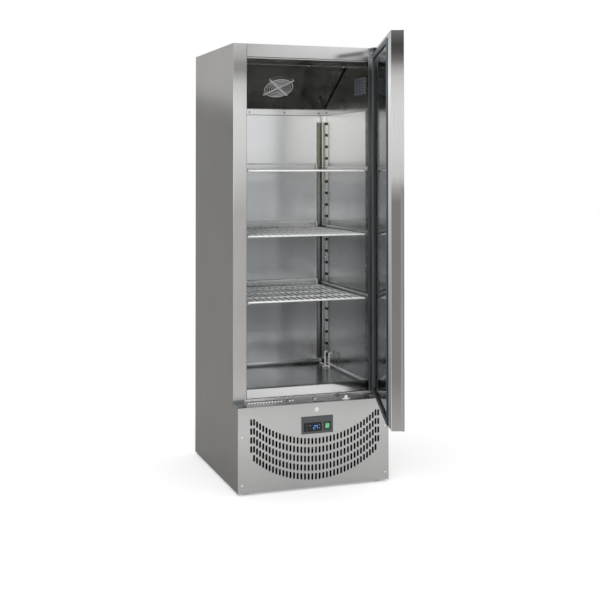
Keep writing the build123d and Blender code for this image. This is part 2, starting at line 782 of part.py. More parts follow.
def end_cap():
    low_y = (frame - 62.0, frame - snug)
    rear_y = frame + recess_depth - 1.2
    low_z = (ledge, ledge + 5.0)
    cap = block(cap_x, low_y, low_z)
    cap = fillet(cap.edges().filter_by(Axis.Z).sort_by(Axis.Y)[:2].sort_by(Axis.X)[-1], 44.0)
    cap += block(cap_x, (frame - 2.0, rear_y), low_z)
    return cap + block(cap_x, (frame + 2.0, rear_y), (ledge, sill_bottom - 0.4))


def door_sensor():
    base = block((sensor_x - 19, sensor_x + 19), (sensor_y - 9, sensor_y + 9), (ledge, ledge + 3))
    base = fillet(base.edges().filter_by(Axis.Z), 8.9)
    align = (Align.CENTER, Align.CENTER, Align.MIN)
    dome = Pos(sensor_x, sensor_y, ledge + 2.5) * Cone(8.8, 5.5, 13.5, align=align)
    dome = fillet(dome.edges().group_by(Axis.Z)[-1], 4.5)
    return base + dome


# Lower panel and its controls
def panel_slots():
    # vertical slots on a hanging arc, five rows deep, with four beside each end
    middle = (slot_columns - 1) // 2
    places = []
    for column in range(-middle, middle + 1):
        level = min(abs(column), middle - 1) * smile_step
        x = smile_x + smile_radius * sin(radians(column * smile_step))
        top = smile_z + smile_radius * (1 - cos(radians(level)))
        rows = slot_rows if abs(column) < middle else slot_rows - 1
        places += [(x, top - row_pitch * row) for row in range(rows)]
    slot = Rot(Z=90) * SlotOverall(panel_slot[1], panel_slot[0])
    return Sketch() + [Pos(x, z) * slot for x, z in places]


def front_panel():
    panel_height = ledge - ground_gap
    face = Pos(0, ground_gap + panel_height / 2) * RectangleRounded(width, panel_height, 1.5)
    face -= panel_slots()
    face -= Pos(lock_x, lock_z) * Circle(7.6)
    face -= Pos(sum(controller_x) / 2, sum(controller_z) / 2) * Rectangle(*controller_hole)
    face -= Pos(rocker_x, rocker_z) * Rectangle(rocker_shell[0] - 1, rocker_shell[1] - 1)
    for x, _, z in panel_screws:
        face -= Pos(x, z) * Circle(screw_hole)
    sheet_plane = Plane(origin=(0, front + sheet, 0), x_dir=(1, 0, 0), z_dir=(0, -1, 0))
    panel = extrude(sheet_plane * face, amount=sheet)
    return panel + both(side - 2, (front + sheet, front + 12), (ledge - sheet, ledge))


def control_plate():
    plate = block(plate_x, (front - plate_thickness, front), plate_z)
    plate = fillet(plate.edges().filter_by(Axis.Y), 1.5)
    hole_width, hole_height = controller_hole
    plate -= Pos(sum(controller_x) / 2, front, sum(controller_z) / 2) * Box(hole_width, 18.0, hole_height)
    # raised frame and shell that hold the rocker
    shell_width, shell_height = rocker_shell
    shell = Pos(rocker_x, front - plate_thickness - 0.75, rocker_z) * Box(shell_width, 1.5, shell_height)
    shell = fillet(shell.edges().filter_by(Axis.Y), 2.0)
    shell += Pos(rocker_x, front + 12.0, rocker_z) * Box(shell_width - 3, 28.0, shell_height - 3)
    pocket = Pos(rocker_x, front + 10.0, rocker_z) * Box(22.8, 30.0, 26.8)
    axle_hole = Pos(rocker_x, rocker_y, rocker_z) * Rot(Y=90) * Cylinder(axle_radius + 0.05, 30.0)
    return (plate + shell) - pocket - axle_hole


def rocker():
    cap = Box(22.0, 12.0, 23.2)
    cap = Pos(0, -3.0, 0) * fillet(cap.edges().filter_by(Axis.X), 1.2)
    cap += Rot(Y=90) * Cylinder(axle_radius, 25.2)
    return Pos(rocker_x, rocker_y, rocker_z) * Rot(X=rocker_tilt) * cap


def controller():
    bezel_size = (controller_x[1] - controller_x[0], controller_z[1] - controller_z[0])
    centre = (sum(controller_x) / 2, sum(controller_z) / 2)
    bezel_y = front - plate_thickness - bezel_thickness / 2
    bezel = Pos(centre[0], bezel_y, centre[1]) * Box(bezel_size[0], bezel_thickness, bezel_size[1])
    bezel = fillet(bezel.edges().filter_by(Axis.Y), 2.5)
    body_width, body_height = controller_body
    body = Pos(centre[0], front + 27.75, centre[1]) * Box(body_width, 60.5, body_height)
    unit = bezel + body
    unit -= block(window_x, (front - 6, front - 4.1), window_z)
    for z in key_z:
        unit -= Pos(key_x, front - 3.45, z) * Rot(X=90) * Cylinder(3.1, 2.2)
    return unit


def controller_key(z):
    key = Pos(key_x, front - 4.15, z) * Rot(X=90) * Cylinder(3.0, 1.8)
    return fillet(key.edges().group_by(Axis.Y)[0], 0.5)


def lock_barrel():
    def along_y(radius, y):
        return rod((lock_x, y[0], lock_z), (lock_x, y[1], lock_z), radius)

    barrel = along_y(9.5, (front - 2.0, front)) + along_y(7.5, (front, front + 17.0))
    return barrel - along_y(5.05, (front - 3, front + 20))


def lock_plug():
    plug = rod((lock_x, front - 2.4, lock_z), (lock_x, cam_y[0], lock_z), 5.0)
    plug -= block((lock_x - 0.7, lock_x + 0.7), (front - 3, front + 1), (lock_z - 3.5, lock_z + 3.5))
    tongue = block((lock_x, lock_x + cam_reach - 7), cam_y, (lock_z - 6, lock_z + 6))
    tongue += rod((lock_x + cam_reach - 7, cam_y[0], lock_z), (lock_x + cam_reach - 7, cam_y[1], lock_z), 6.0)
    tongue += rod((lock_x, cam_y[0], lock_z), (lock_x, cam_y[1], lock_z), 8.0)
    return plug + tongue


# Machine compartment
def condenser_row_z(row):
    return condenser_z[0] + (condenser_z[1] - condenser_z[0]) * (row + 0.5) / condenser_rows


def return_bends(x, outward):
    # half rings that join the tubes in pairs at one end of the coil
    bends = []
    pitch = condenser_row_z(1) - condenser_row_z(0)
    first_row = 0 if outward < 0 else 1
    for column in range(condenser_columns):
        y = condenser_y[0] + (condenser_y[1] - condenser_y[0]) * (column + 0.5) / condenser_columns
        for row in range(first_row, condenser_rows - 1, 2):
            ring = Pos(x, y, condenser_row_z(row) + pitch / 2) * Rot(X=90) * Torus(pitch / 2, condenser_tube)
            beyond = sorted((x, x + outward * pitch))
            bends.append(ring & block(beyond, condenser_y, condenser_z))
    return bends


def condenser_coil():
    tubes = (condenser_rows, condenser_columns, condenser_tube)
    coil = finned_block(condenser_x, condenser_y, condenser_z, 30, *tubes)
    coil = coil.fuse(*return_bends(condenser_x[0], -1), *return_bends(condenser_x[1], 1))
    shroud_y = (condenser_y[1], condenser_y[1] + 2)
    shroud = block(condenser_x, shroud_y, (ground_gap + 1.5, condenser_z[1]))
    return coil + (shroud - condenser_fan_axis() * Cylinder(shroud_opening, 40))


def condenser_fan_axis():
    # local +Z looks towards the front grille
    centre = (condenser_fan_x, condenser_y[1] + 12, condenser_fan_z)
    return Plane(origin=centre, x_dir=(1, 0, 0), z_dir=(0, -1, 0))


def condenser_fan():
    fan = axial_fan(condenser_fan_radius, *condenser_fan_hub, blades=5, pitch=30, bore=3.05, bore_depth=12.0)
    return condenser_fan_axis() * Pos(0, 0, -18) * fan


def condenser_motor():
    body_radius, body_length = condenser_motor_size
    front_z = body_length - condenser_motor_setback
    motor = rod((0, 0, -condenser_motor_setback), (0, 0, front_z), body_radius)
    motor = fillet(motor.edges().filter_by(GeomType.CIRCLE), 4.0)
    motor += rod((0, 0, front_z - 1), (0, 0, -8), 3.0)
    arm_z = 20 - condenser_motor_setback
    arm_reach = shroud_opening + 6
    for angle in (45, 135, 225, 315):
        arm = rod((body_radius - 2, 0, arm_z), (arm_reach + 2, 0, arm_z), 3.0)
        arm += rod((arm_reach, 0, arm_z - 1), (arm_reach, 0, 10), 3.0)
        motor += Rot(Z=angle) * arm
    return condenser_fan_axis() * motor


def compressor():
    # welded shell with a seam round it, on a foot plate with four rubber feet
    base_z = 32.0
    seam_z = 112.0
    shell = rod((0, 0, compressor_z[0]), (0, 0, compressor_z[1]), compressor_radius)
    shell = fillet(shell.edges().group_by(Axis.Z)[-1], 45.0)
    shell = fillet(shell.edges().group_by(Axis.Z)[0], 20.0)
    shell += Pos(0, 0, seam_z) * Cylinder(compressor_radius + 3, 6.0)
    shell += Pos(0, 0, base_z) * Box(190.0, 130.0, 5.0)
    for x in (-80.0, 80.0):
        for y in (-52.0, 52.0):
            shell += rod((x, y, tray_top), (x, y, base_z), 11.0)
    shell = Pos(compressor_x, compressor_y, 0) * shell
    return shell


def refrigerant_line():
    # discharge pipe from compressor to condenser, with the filter drier brazed into it
    inlet_y = condenser_y[0] + (condenser_y[1] - condenser_y[0]) / 4
    inlet_z = condenser_row_z(condenser_rows - 1)
    points = [
        (compressor_x + compressor_radius + 0.2, compressor_y, pipe_z),
        (compressor_x + 120, compressor_y, pipe_z),
        (compressor_x + 120, -120, pipe_z),
        (drier_x, -120, pipe_z),
        (drier_x, inlet_y, pipe_z),
        (drier_x, inlet_y, inlet_z),
        (condenser_x[0], inlet_y, inlet_z),
    ]
    line = wire(points, pipe_radius, 14.0)
    drier = rod((drier_x, -265, pipe_z), (drier_x, -165, pipe_z), drier_radius)
    return line + fillet(drier.edges(), 5.0)


def cable_gland():
    body = rod((gland_x, back - 16, gland_z), (gland_x, back + 10, gland_z), gland_radius)
    nut = Plane(origin=(gland_x, back, gland_z), z_dir=(0, 1, 0)) * RegularPolygon(gland_nut, 6)
    body += extrude(nut, amount=5.0)
    lock_nut = Plane(origin=(gland_x, back - sheet, gland_z), z_dir=(0, -1, 0)) * RegularPolygon(gland_nut, 6)
    body += extrude(lock_nut, amount=4.0)
    return body - rod((gland_x, back - 20, gland_z), (gland_x, back + 20, gland_z), gland_bore)


# Write every sub-part
casing_side = side_panel()
right_side = casing_side
for hole in screw_holes(hinge_screws, (0, 1, 0), 6):
    right_side -= hole
inner_wall = liner_side()

save("base_tray", base_tray())
save("levelling_feet", levelling_feet())
save("left_side_panel", mirror(casing_side, about=Plane.YZ))
save("right_side_panel", right_side)
save("top_panel", top_panel())
save("back_panel", back_panel())
save("rear_grille", rear_grille())
save("top_rail", top_rail())
save("sill", sill())
save("body_foam", body_foam())
save("liner_left", mirror(inner_wall, about=Plane.YZ))
save("liner_right", inner_wall)
save("liner_back", liner_back_wall())
save("liner_ceiling", liner_ceiling())
save("liner_floor", liner_floor_tray())
save("wall_band", wall_band())
save("fixing_screws", fixing_screws())
save("pilasters_front", left_and_right(pilaster(pilaster_front_y)))
save("pilasters_rear", left_and_right(pilaster(pilaster_rear_y)))
for order, slot_index in enumerate(reversed(shelf_slots), start=1):
    save(f"runners_{order}", left_and_right(runner(slot_index)))
    save(f"shelf_{order}", shelf(slot_index))
    save(f"shelf_{order}_stop", shelf_stop(slot_index))
save("spare_shelf_clips", spare_clips())
save("evaporator_cover", evaporator_cover())
save("fan_guard", fan_guard())
save("evaporator_motor", evaporator_motor())
save("evaporator_fan", evaporator_fan())
save("evaporator_coil", evaporator_coil())
save("air_probe", air_probe())
save("data_plate", data_plate())
save("door_skin", door_swung(door_skin()))
save("door_foam", door_swung(door_foam()))
save("door_inner_panel", door_swung(door_inner_panel()))
save("door_gasket", door_swung(door_gasket()))
save("hinge_bushes", door_swung(hinge_bushes()))
save("hinge_top", hinge_top())
save("hinge_bottom", hinge_bottom())
save("ledge_plate", ledge_plate())
save("end_cap", end_cap())
save("door_sensor", door_sensor())
save("front_panel", front_panel())
save("control_plate", control_plate())
save("controller", controller())
save("key_lower", controller_key(key_z[0]))
save("key_upper", controller_key(key_z[1]))
save("rocker", rocker())
save("lock_plug", lock_plug())
save("lock_barrel", lock_barrel())
save("compressor", compressor())
save("condenser_coil", condenser_coil())
save("condenser_motor", condenser_motor())
save("condenser_fan", condenser_fan())
save("refrigerant_line", refrigerant_line())
save("cable_gland", cable_gland())
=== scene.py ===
import bmesh
import bpy
import json
import math
from mathutils import Matrix, Vector


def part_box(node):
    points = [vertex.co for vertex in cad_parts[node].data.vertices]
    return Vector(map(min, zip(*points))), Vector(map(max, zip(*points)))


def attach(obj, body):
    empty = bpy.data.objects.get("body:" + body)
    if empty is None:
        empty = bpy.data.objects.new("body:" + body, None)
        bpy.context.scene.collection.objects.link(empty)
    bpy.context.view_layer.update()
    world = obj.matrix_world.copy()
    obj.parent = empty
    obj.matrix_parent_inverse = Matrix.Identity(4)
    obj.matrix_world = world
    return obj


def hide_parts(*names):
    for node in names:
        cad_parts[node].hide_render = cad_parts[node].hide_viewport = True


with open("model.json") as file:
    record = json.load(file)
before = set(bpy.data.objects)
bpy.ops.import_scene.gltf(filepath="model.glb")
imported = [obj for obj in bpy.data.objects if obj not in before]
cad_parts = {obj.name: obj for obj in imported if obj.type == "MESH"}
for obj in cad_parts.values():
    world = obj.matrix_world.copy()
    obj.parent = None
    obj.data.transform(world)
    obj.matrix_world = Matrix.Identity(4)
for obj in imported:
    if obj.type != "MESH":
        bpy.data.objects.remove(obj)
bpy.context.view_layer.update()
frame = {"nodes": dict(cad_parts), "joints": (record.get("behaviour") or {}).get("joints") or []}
nodes = frame["nodes"]
joints = {joint["name"]: joint for joint in frame["joints"]}
mm = 0.001
print("frame loaded,", len(nodes), "nodes")


# Nodes and colours
def toLinear(hexText):
    parts = [int(hexText[start:start + 2], 16) / 255 for start in (1, 3, 5)]
    return tuple(p / 12.92 if p <= 0.04045 else ((p + 0.055) / 1.055) ** 2.4 for p in parts) + (1.0,)


def addNode(tree, kind, settings=None, links=None):
    node = tree.nodes.new(kind)
    for key, value in (settings or {}).items():
        if isinstance(key, str) and hasattr(node, key):
            setattr(node, key, value)
        else:
            node.inputs[key].default_value = value
    for key, socket in (links or {}).items():
        tree.links.new(socket, node.inputs[key])
    return node


def calculated(tree, operation, *values):
    # each value is a socket or a number
    settings, links = {"operation": operation}, {}
    for index, value in enumerate(values):
        (settings if isinstance(value, (int, float)) else links)[index] = value
    return addNode(tree, "ShaderNodeMath", settings, links).outputs[0]


def newMaterial(name, constants):
    material = bpy.data.materials.new(name)
    material.use_nodes = True
    shader = material.node_tree.nodes["Principled BSDF"]
    for key, value in constants.items():
        shader.inputs[key].default_value = value
    place = addNode(material.node_tree, "ShaderNodeTexCoord")
    return material, material.node_tree, shader, place


def distanceAlong(tree, place, direction):
    along = addNode(tree, "ShaderNodeVectorMath", {"operation": "DOT_PRODUCT", 1: direction},
                    {0: place.outputs["Object"]})
    return along.outputs["Value"]


def toneAlong(tree, place, direction, stops):
    # stops are (millimetres along the direction, colour), in rising order
    low, high = stops[0][0], stops[-1][0]
    share = addNode(tree, "ShaderNodeMapRange", {"From Min": low * mm, "From Max": high * mm},
                    {"Value": distanceAlong(tree, place, direction)})
    ramp = addNode(tree, "ShaderNodeValToRGB", links={"Fac": share.outputs["Result"]})
    points = ramp.color_ramp.elements
    points[0].position, points[1].position = 0.0, 1.0
    points[0].color, points[1].color = toLinear(stops[0][1]), toLinear(stops[-1][1])
    for distance, colour in stops[1:-1]:
        points.new((distance - low) / (high - low)).color = toLinear(colour)
    return ramp.outputs["Color"]


def facingMask(tree, place, direction, softness):
    # 1 on faces that look along the direction
    outward = Vector(direction).normalized()
    facing = addNode(tree, "ShaderNodeVectorMath", {"operation": "DOT_PRODUCT", 1: outward},
                     {0: place.outputs["Normal"]})
    mask = addNode(tree, "ShaderNodeMapRange", {"From Min": softness[0], "From Max": softness[1]},
                   {"Value": facing.outputs["Value"]})
    return mask.outputs["Result"]


def insideMask(tree, place, limits):
    # 1 between the low and high limit along each direction, fading over soft millimetres at its ends;
    # a fifth number repeats the limits at that step
    inside = None
    for direction, low, high, soft, *step in limits:
        distance = distanceAlong(tree, place, direction)
        if step:
            first = (low + high - step[0]) / 2
            distance = calculated(tree, "WRAP", distance, (first + step[0]) * mm, first * mm)
        offset = calculated(tree, "SUBTRACT", distance, (low + high) / 2 * mm)
        half = (high - low) / 2
        near = addNode(tree, "ShaderNodeMapRange",
                       {"interpolation_type": "SMOOTHSTEP", "From Min": (half - soft / 2) * mm,
                        "From Max": (half + soft / 2) * mm, "To Min": 1.0, "To Max": 0.0},
                       {"Value": calculated(tree, "ABSOLUTE", offset)}).outputs["Result"]
        inside = near if inside is None else calculated(tree, "MULTIPLY", inside, near)
    return inside


def mixColours(tree, share, first, second):
    # first and second are each a socket or a hex colour; 6, 7 and 2 are the node's colour sockets
    mix = addNode(tree, "ShaderNodeMix", {"data_type": "RGBA"}, {0: share})
    for socket, colour in ((mix.inputs[6], first), (mix.inputs[7], second)):
        if isinstance(colour, str):
            socket.default_value = toLinear(colour)
        else:
            tree.links.new(colour, socket)
    return mix.outputs[2]


def tonedColour(tree, place, finish):
    # tones along one direction, other tones on faces that look another way, then patches
    colour = toneAlong(tree, place, *finish["tones"])
    for direction, softness, tones in finish.get("faces", []):
        colour = mixColours(tree, facingMask(tree, place, direction, softness), colour,
                            toneAlong(tree, place, *tones))
    for tint, limits in finish.get("patches", []):
        patch = tint if isinstance(tint, str) else toneAlong(tree, place, *tint)
        colour = mixColours(tree, insideMask(tree, place, limits), colour, patch)
    return colour


def stretchedNoise(tree, place, sizes, detail=3.0, roughness=0.6, distortion=0.0):
    # noise with a typical size in millimetres along each axis
    scale = [1 / (size * mm) for size in sizes]
    mapped = addNode(tree, "ShaderNodeMapping", {"Scale": scale}, {"Vector": place.outputs["Object"]})
    noise = addNode(tree, "ShaderNodeTexNoise",
                    {"Scale": 1.0, "Detail": detail, "Roughness": roughness, "Distortion": distortion},
                    {"Vector": mapped.outputs["Vector"]})
    return noise.outputs["Fac"]


def between(tree, value, low, high, source=(0.3, 0.7)):
    scaled = addNode(tree, "ShaderNodeMapRange",
                     {"From Min": source[0], "From Max": source[1], "To Min": low, "To Max": high},
                     {"Value": value})
    return scaled.outputs["Result"]


def shaded(tree, colour, factor):
    return addNode(tree, "ShaderNodeVectorMath", {"operation": "SCALE"},
                   {0: colour, "Scale": factor}).outputs["Vector"]


def addBump(tree, shader, height, distance):
    # distance is the relief in millimetres
    bump = addNode(tree, "ShaderNodeBump", {"Distance": distance * mm, "Strength": 1.0}, {"Height": height})
    tree.links.new(bump.outputs["Normal"], shader.inputs["Normal"])


def grainSizes(grain, width, length):
    return [length if axis == grain else width for axis in "xyz"]


# Stainless steel 1.4301, cold rolled and ground with a belt: a satin grey with fine parallel scratches,
# which widen reflections across the grain. The scratches are 0.05 mm wide and are drawn 2 mm wide to show.
satinSheet = {
    "scratchWidth": 2.2,
    "scratchLength": 130.0,
    "scratchContrast": 0.045,
    "cloudSize": 240.0,
    "cloudContrast": 0.03,
    "roughness": (0.27, 0.36),
    "relief": 0.012,
}


def satinSteel(name, finish):
    look = {**satinSheet, **finish.get("look", {})}
    material, tree, shader, place = newMaterial(name, {"Metallic": 1.0, **finish.get("constants", {})})
    colour = tonedColour(tree, place, finish)
    sizes = grainSizes(finish["grain"], look["scratchWidth"], look["scratchLength"])
    scratches = stretchedNoise(tree, place, sizes)
    clouds = stretchedNoise(tree, place, [look["cloudSize"]] * 3, detail=2.0)
    low, high = 1 - look["scratchContrast"], 1 + look["scratchContrast"]
    colour = shaded(tree, colour, between(tree, scratches, low, high))
    low, high = 1 - look["cloudContrast"], 1 + look["cloudContrast"]
    colour = shaded(tree, colour, between(tree, clouds, low, high))
    tree.links.new(colour, shader.inputs["Base Color"])
    tree.links.new(between(tree, scratches, *look["roughness"]), shader.inputs["Roughness"])
    addBump(tree, shader, scratches, look["relief"])
    return material


# Stainless steel, bright annealed after rolling: nearly a mirror, but thin sheet never lies flat,
# so its reflections swim in long soft waves.
brightSheet = {
    "waveSize": 190.0,
    "waveRelief": 0.4,
    "smearSizes": (120.0, 120.0, 420.0),
    "smearContrast": 0.035,
    "roughness": (0.17, 0.25),
}


def brightSteel(name, finish):
    look = {**brightSheet, **finish.get("look", {})}
    material, tree, shader, place = newMaterial(name, {"Metallic": 1.0, **finish.get("constants", {})})
    colour = tonedColour(tree, place, finish)
    waves = stretchedNoise(tree, place, [look["waveSize"]] * 3, detail=1.0, distortion=0.4)
    smears = stretchedNoise(tree, place, look["smearSizes"], detail=1.5, roughness=0.5, distortion=0.3)
    low, high = 1 - look["smearContrast"], 1 + look["smearContrast"]
    colour = shaded(tree, colour, between(tree, smears, low, high))
    tree.links.new(colour, shader.inputs["Base Color"])
    tree.links.new(between(tree, smears, *look["roughness"]), shader.inputs["Roughness"])
    addBump(tree, shader, waves, look["waveRelief"])
    return material


up = (0.0, 0.0, 1.0)
right = (1.0, 0.0, 0.0)
back = (0.0, 1.0, 0.0)
wide = (0.55, 0.8)  # softness of a mask that takes in a bend
grazed = {"Specular Tint": (0.6, 0.6, 0.6, 1.0)}  # keeps flat reflections of the floor off the ground sheet

# Painted reflection on the outer side faces: darker low down, lighter above about 1600 mm.
sidePaintedReflection = ((0.0, -0.115, 1.0), [
    (0, "#757370"), (300, "#7c7a76"), (1000, "#7d7b78"), (1560, "#7b7976"), (1604, "#7f7d7a"),
    (1648, "#8c8a87"), (1692, "#a5a3a0"), (1740, "#b1afad"), (1890, "#b3b1af"),
])
# Left stile: its tones by height are painted reflection, a light band from about 1320 to 1720 mm and a dark
# band near 1800 mm.
leftSteel = satinSteel("brushedStainlessLeftCasingPaintedLight", {
    "grain": "z",
    "tones": (up, [
        (380, "#a8a7a6"), (560, "#a19f9d"), (800, "#a4a3a1"), (1060, "#abaaa8"), (1190, "#adacab"),
        (1320, "#c1c1c0"), (1450, "#d0d0cf"), (1610, "#d7d7d6"), (1680, "#cfcfce"), (1725, "#c2c2c1"),
        (1760, "#a6a6a5"), (1785, "#8f8e8c"), (1812, "#8f8e8c"), (1840, "#a7a6a4"), (1890, "#b9b8b6"),
    ]),
    "faces": [
        ((-1, 0, 0), wide, sidePaintedReflection),
        # Painted shade: the inner face near black, darkest below 380 mm.
        ((1, 0, 0), wide, (up, [(0, "#101010"), (380, "#141414"), (385, "#4a4a4a"), (1900, "#3a3a3a")])),
        # Painted highlight along the rounded fold between side and stile.
        ((-1, -1, 0), (0.93, 0.98), (up, [
            (380, "#a8a7a6"), (1100, "#b4b3b2"), (1220, "#ececeb"), (1660, "#f8f8f7"), (1760, "#b0b0af"),
        ])),
    ],
    "constants": grazed,
})
# Right stile: its tones by height are painted reflection, lighter near 1475 mm, with a bright strip above
# 1840 mm.
rightSteel = satinSteel("brushedStainlessRightCasingPaintedLight", {
    "grain": "z",
    "tones": (up, [
        (380, "#7c7b7a"), (800, "#7c7b7a"), (1020, "#858483"), (1240, "#8e8e8d"), (1475, "#9f9f9e"),
        (1610, "#8c8c8b"), (1800, "#7c7c7b"), (1840, "#cacac9"), (1890, "#c2c2c1"),
    ]),
    "faces": [
        ((1, 0, 0), wide, sidePaintedReflection),
        # Painted shade: the inner face near black, darkest below 380 mm.
        ((-1, 0, 0), wide, (up, [(0, "#101010"), (380, "#141414"), (385, "#4a4a4a"), (1900, "#2a2a2a")])),
    ],
    "constants": grazed,
})
darkWedge = (-0.165, 0.0, 0.986)  # square to the dark reflection that rises to the right across the rail
# Painted light on the rail: its front lighter towards the right as a painted reflection, its underside in
# painted shade, darkest at the left, and the patch a painted dark reflection across its right part.
railSteel = satinSteel("brushedStainlessRailPaintedLight", {
    "grain": "x",
    "tones": (right, [
        (-282, "#b5b5b4"), (-178, "#c3c3c2"), (-42, "#d2d2d1"), (98, "#dededd"), (193, "#dfdfde"),
        (241, "#dddddc"), (289, "#dededd"),
    ]),
    "faces": [((0, 0, -1), (0.1, 0.5), (right, [
        (-282, "#3c3c3c"), (0, "#545453"), (98, "#6e6e6d"), (150, "#808080"), (289, "#8a8a8a"),
    ]))],
    "patches": [("#898989", [(darkWedge, 1799, 1817, 16), (right, 130, 266, 50)])],
})
brightWedge = (0.233, 0.0, 0.972)  # square to the upper edge of the bright reflection on the sill
# Painted reflection on the sill: its front light on the left and dark towards the right, its top and
# underside with painted reflections of their own; the first patch is a painted dark band above the bright
# reflection, the second a painted highlight between 340 and 383 mm up.
sillSteel = satinSteel("brushedStainlessSillPaintedLight", {
    "grain": "x",
    "tones": (right, [
        (-282, "#b2b2b2"), (-230, "#b6b6b6"), (-133, "#bcbcbc"), (-23, "#c2c2c2"), (88, "#c4c4c4"),
        (130, "#c0c0c0"), (163, "#b8b8b8"), (201, "#6c6c6c"), (240, "#3c3c3c"), (280, "#1e1e1e"),
    ]),
    "faces": [
        ((0, 0, -1), (0.25, 0.75), (right, [
            (-282, "#d8d8d8"), (120, "#f4f4f4"), (200, "#909090"), (280, "#404040"),
        ])),
        ((0, 0, 1), (0.15, 0.6), (right, [
            (-282, "#8a8a8a"), (-200, "#606060"), (-140, "#606060"), (-60, "#9a9a9a"), (120, "#b8b8b8"),
            (200, "#949494"), (280, "#606060"),
        ])),
    ],
    "patches": [
        ("#4c4c4c", [(brightWedge, 439, 500, 8), (right, 100, 400, 40)]),
        ("#ffffff", [(up, 340, 382.6, 1), (back, -285, -250, 1)]),
    ],
    "look": {"roughness": (0.16, 0.24)},
})
# Painted light on the lower front panel: tones by height a painted reflection, a little lighter near 260 mm,
# and the inner face painted near black as shade behind the slots.
panelSteel = satinSteel("brushedStainlessPanelPaintedLight", {
    "grain": "x",
    "tones": (up, [(10, "#a1a1a0"), (150, "#a5a5a4"), (260, "#acacab"), (320, "#aaaaa9"), (365, "#a6a6a5")]),
    "faces": [((0, 1, 0), wide, (up, [(0, "#101010"), (365, "#101010")]))],
})
plainSteel = satinSteel("brushedStainlessPlain", {
    "grain": "x",
    "tones": (up, [(0, "#a8a8a7"), (1900, "#b0b0af")]),
})
freeEdge = (-0.319, -0.948, 0.0)
outerFace = (0.948, -0.319, 0.0)
# Painted reflection on the door's free edge: darker low down, a light band from about 1340 to 1720 mm and a
# dark band near 1840 mm.
doorEdgePaintedReflection = (up, [
    (371, "#8c8b89"), (490, "#7f7e7c"), (566, "#747371"), (1240, "#787775"), (1290, "#9a9997"),
    (1340, "#c2c2c0"), (1475, "#d1d1d0"), (1610, "#d0d0cf"), (1665, "#cbcbca"), (1718, "#bdbdbc"),
    (1749, "#a3a2a1"), (1779, "#727170"), (1810, "#515050"), (1840, "#464545"), (1871, "#5e5d5c"),
    (1896, "#6d6c6b"),
])
outerTones = (up, [(371, "#9a9998"), (1000, "#a3a2a1"), (1500, "#aeadac"), (1895, "#a9a8a7")])
doorSteel = satinSteel("brushedStainlessDoorPaintedLight", {
    "grain": "z",
    "tones": doorEdgePaintedReflection,
    "faces": [(outerFace, wide, outerTones)],
    # Painted shade: two darker strips near the outer corner of the door, below about 1290 mm.
    "patches": [("#8f8e8c", [(outerFace, 425.0, 433.6, 0.8), (up, 380, 1290, 60), (freeEdge, 0, 1000, 1)]),
                ("#7c7a78", [(outerFace, 434.6, 438.6, 0.8), (up, 380, 1290, 60), (freeEdge, 0, 1000, 1)])],
})
# Painted light on the ledge: tones along it a painted reflection, the underside painted near black as shade,
# and the patches a painted shadow along the row of plugs, darkest on the left.
ledgeSteel = satinSteel("brushedStainlessLedgePaintedLight", {
    "grain": "x",
    "tones": (right, [
        (-300, "#5e5e5e"), (-200, "#747474"), (-165, "#4a4a4d"), (-54, "#39393c"), (60, "#515155"),
        (150, "#666669"), (300, "#3a3a3e"),
    ]),
    "faces": [((0, 0, -1), wide, (right, [(-340, "#101010"), (340, "#101010")]))],
    "patches": [("#1e1e20", [(back, -304, -284, 6), (right, -300, -110, 30)]),
                ("#3c3c3e", [(back, -304, -284, 6), (right, -110, 20, 30)])],
    "look": {"roughness": (0.16, 0.24)},
})

# Painted light on the back wall: painted shade under each shelf, a bright painted reflection from about 1330
# mm up to the band, and a dark painted reflection above the band at 1654 mm.
backWallPaintedLight = (up, [
    (405, "#c4c6c7"), (480, "#c8cacb"), (533, "#c4c6c7"), (581, "#8f9192"), (630, "#7e8081"),
    (690, "#797a7b"), (775, "#97989a"), (823, "#c0c2c2"), (872, "#a0a3a5"), (968, "#999c9e"),
    (1017, "#909293"), (1114, "#c8cacb"), (1211, "#c3c6c8"), (1290, "#c2c5c7"), (1327, "#dcdddd"),
    (1395, "#f8f8f7"), (1480, "#ffffff"), (1651, "#ffffff"), (1654, "#8a8983"), (1845, "#8e8d86"),
])
# The same painted light, lighter, on the right part of the back wall.
backRightPaintedLight = (up, [
    (405, "#ffffff"), (480, "#ffffff"), (533, "#f2f3f4"), (581, "#c8cacb"), (630, "#b8b9ba"),
    (690, "#b0b1b2"), (775, "#d6d8d9"), (823, "#ffffff"), (872, "#d6d9db"), (968, "#c6c9ca"),
    (1017, "#bdbebf"), (1114, "#ffffff"), (1211, "#f0f3f4"), (1290, "#e8eaeb"), (1327, "#d8d9d9"),
    (1400, "#fafafa"), (1500, "#f8f8f8"), (1600, "#f8f8f8"), (1651, "#ffffff"), (1654, "#8a8983"),
    (1845, "#8e8d86"),
])
# Painted shade in a strip by the right-hand corner.
cornerPaintedShade = (up, [
    (405, "#6d6e6e"), (630, "#6d6e6e"), (968, "#717272"), (1130, "#8c8e8c"), (1300, "#8c8d86"),
    (1400, "#8e8b7d"), (1600, "#8e8b7d"),
])
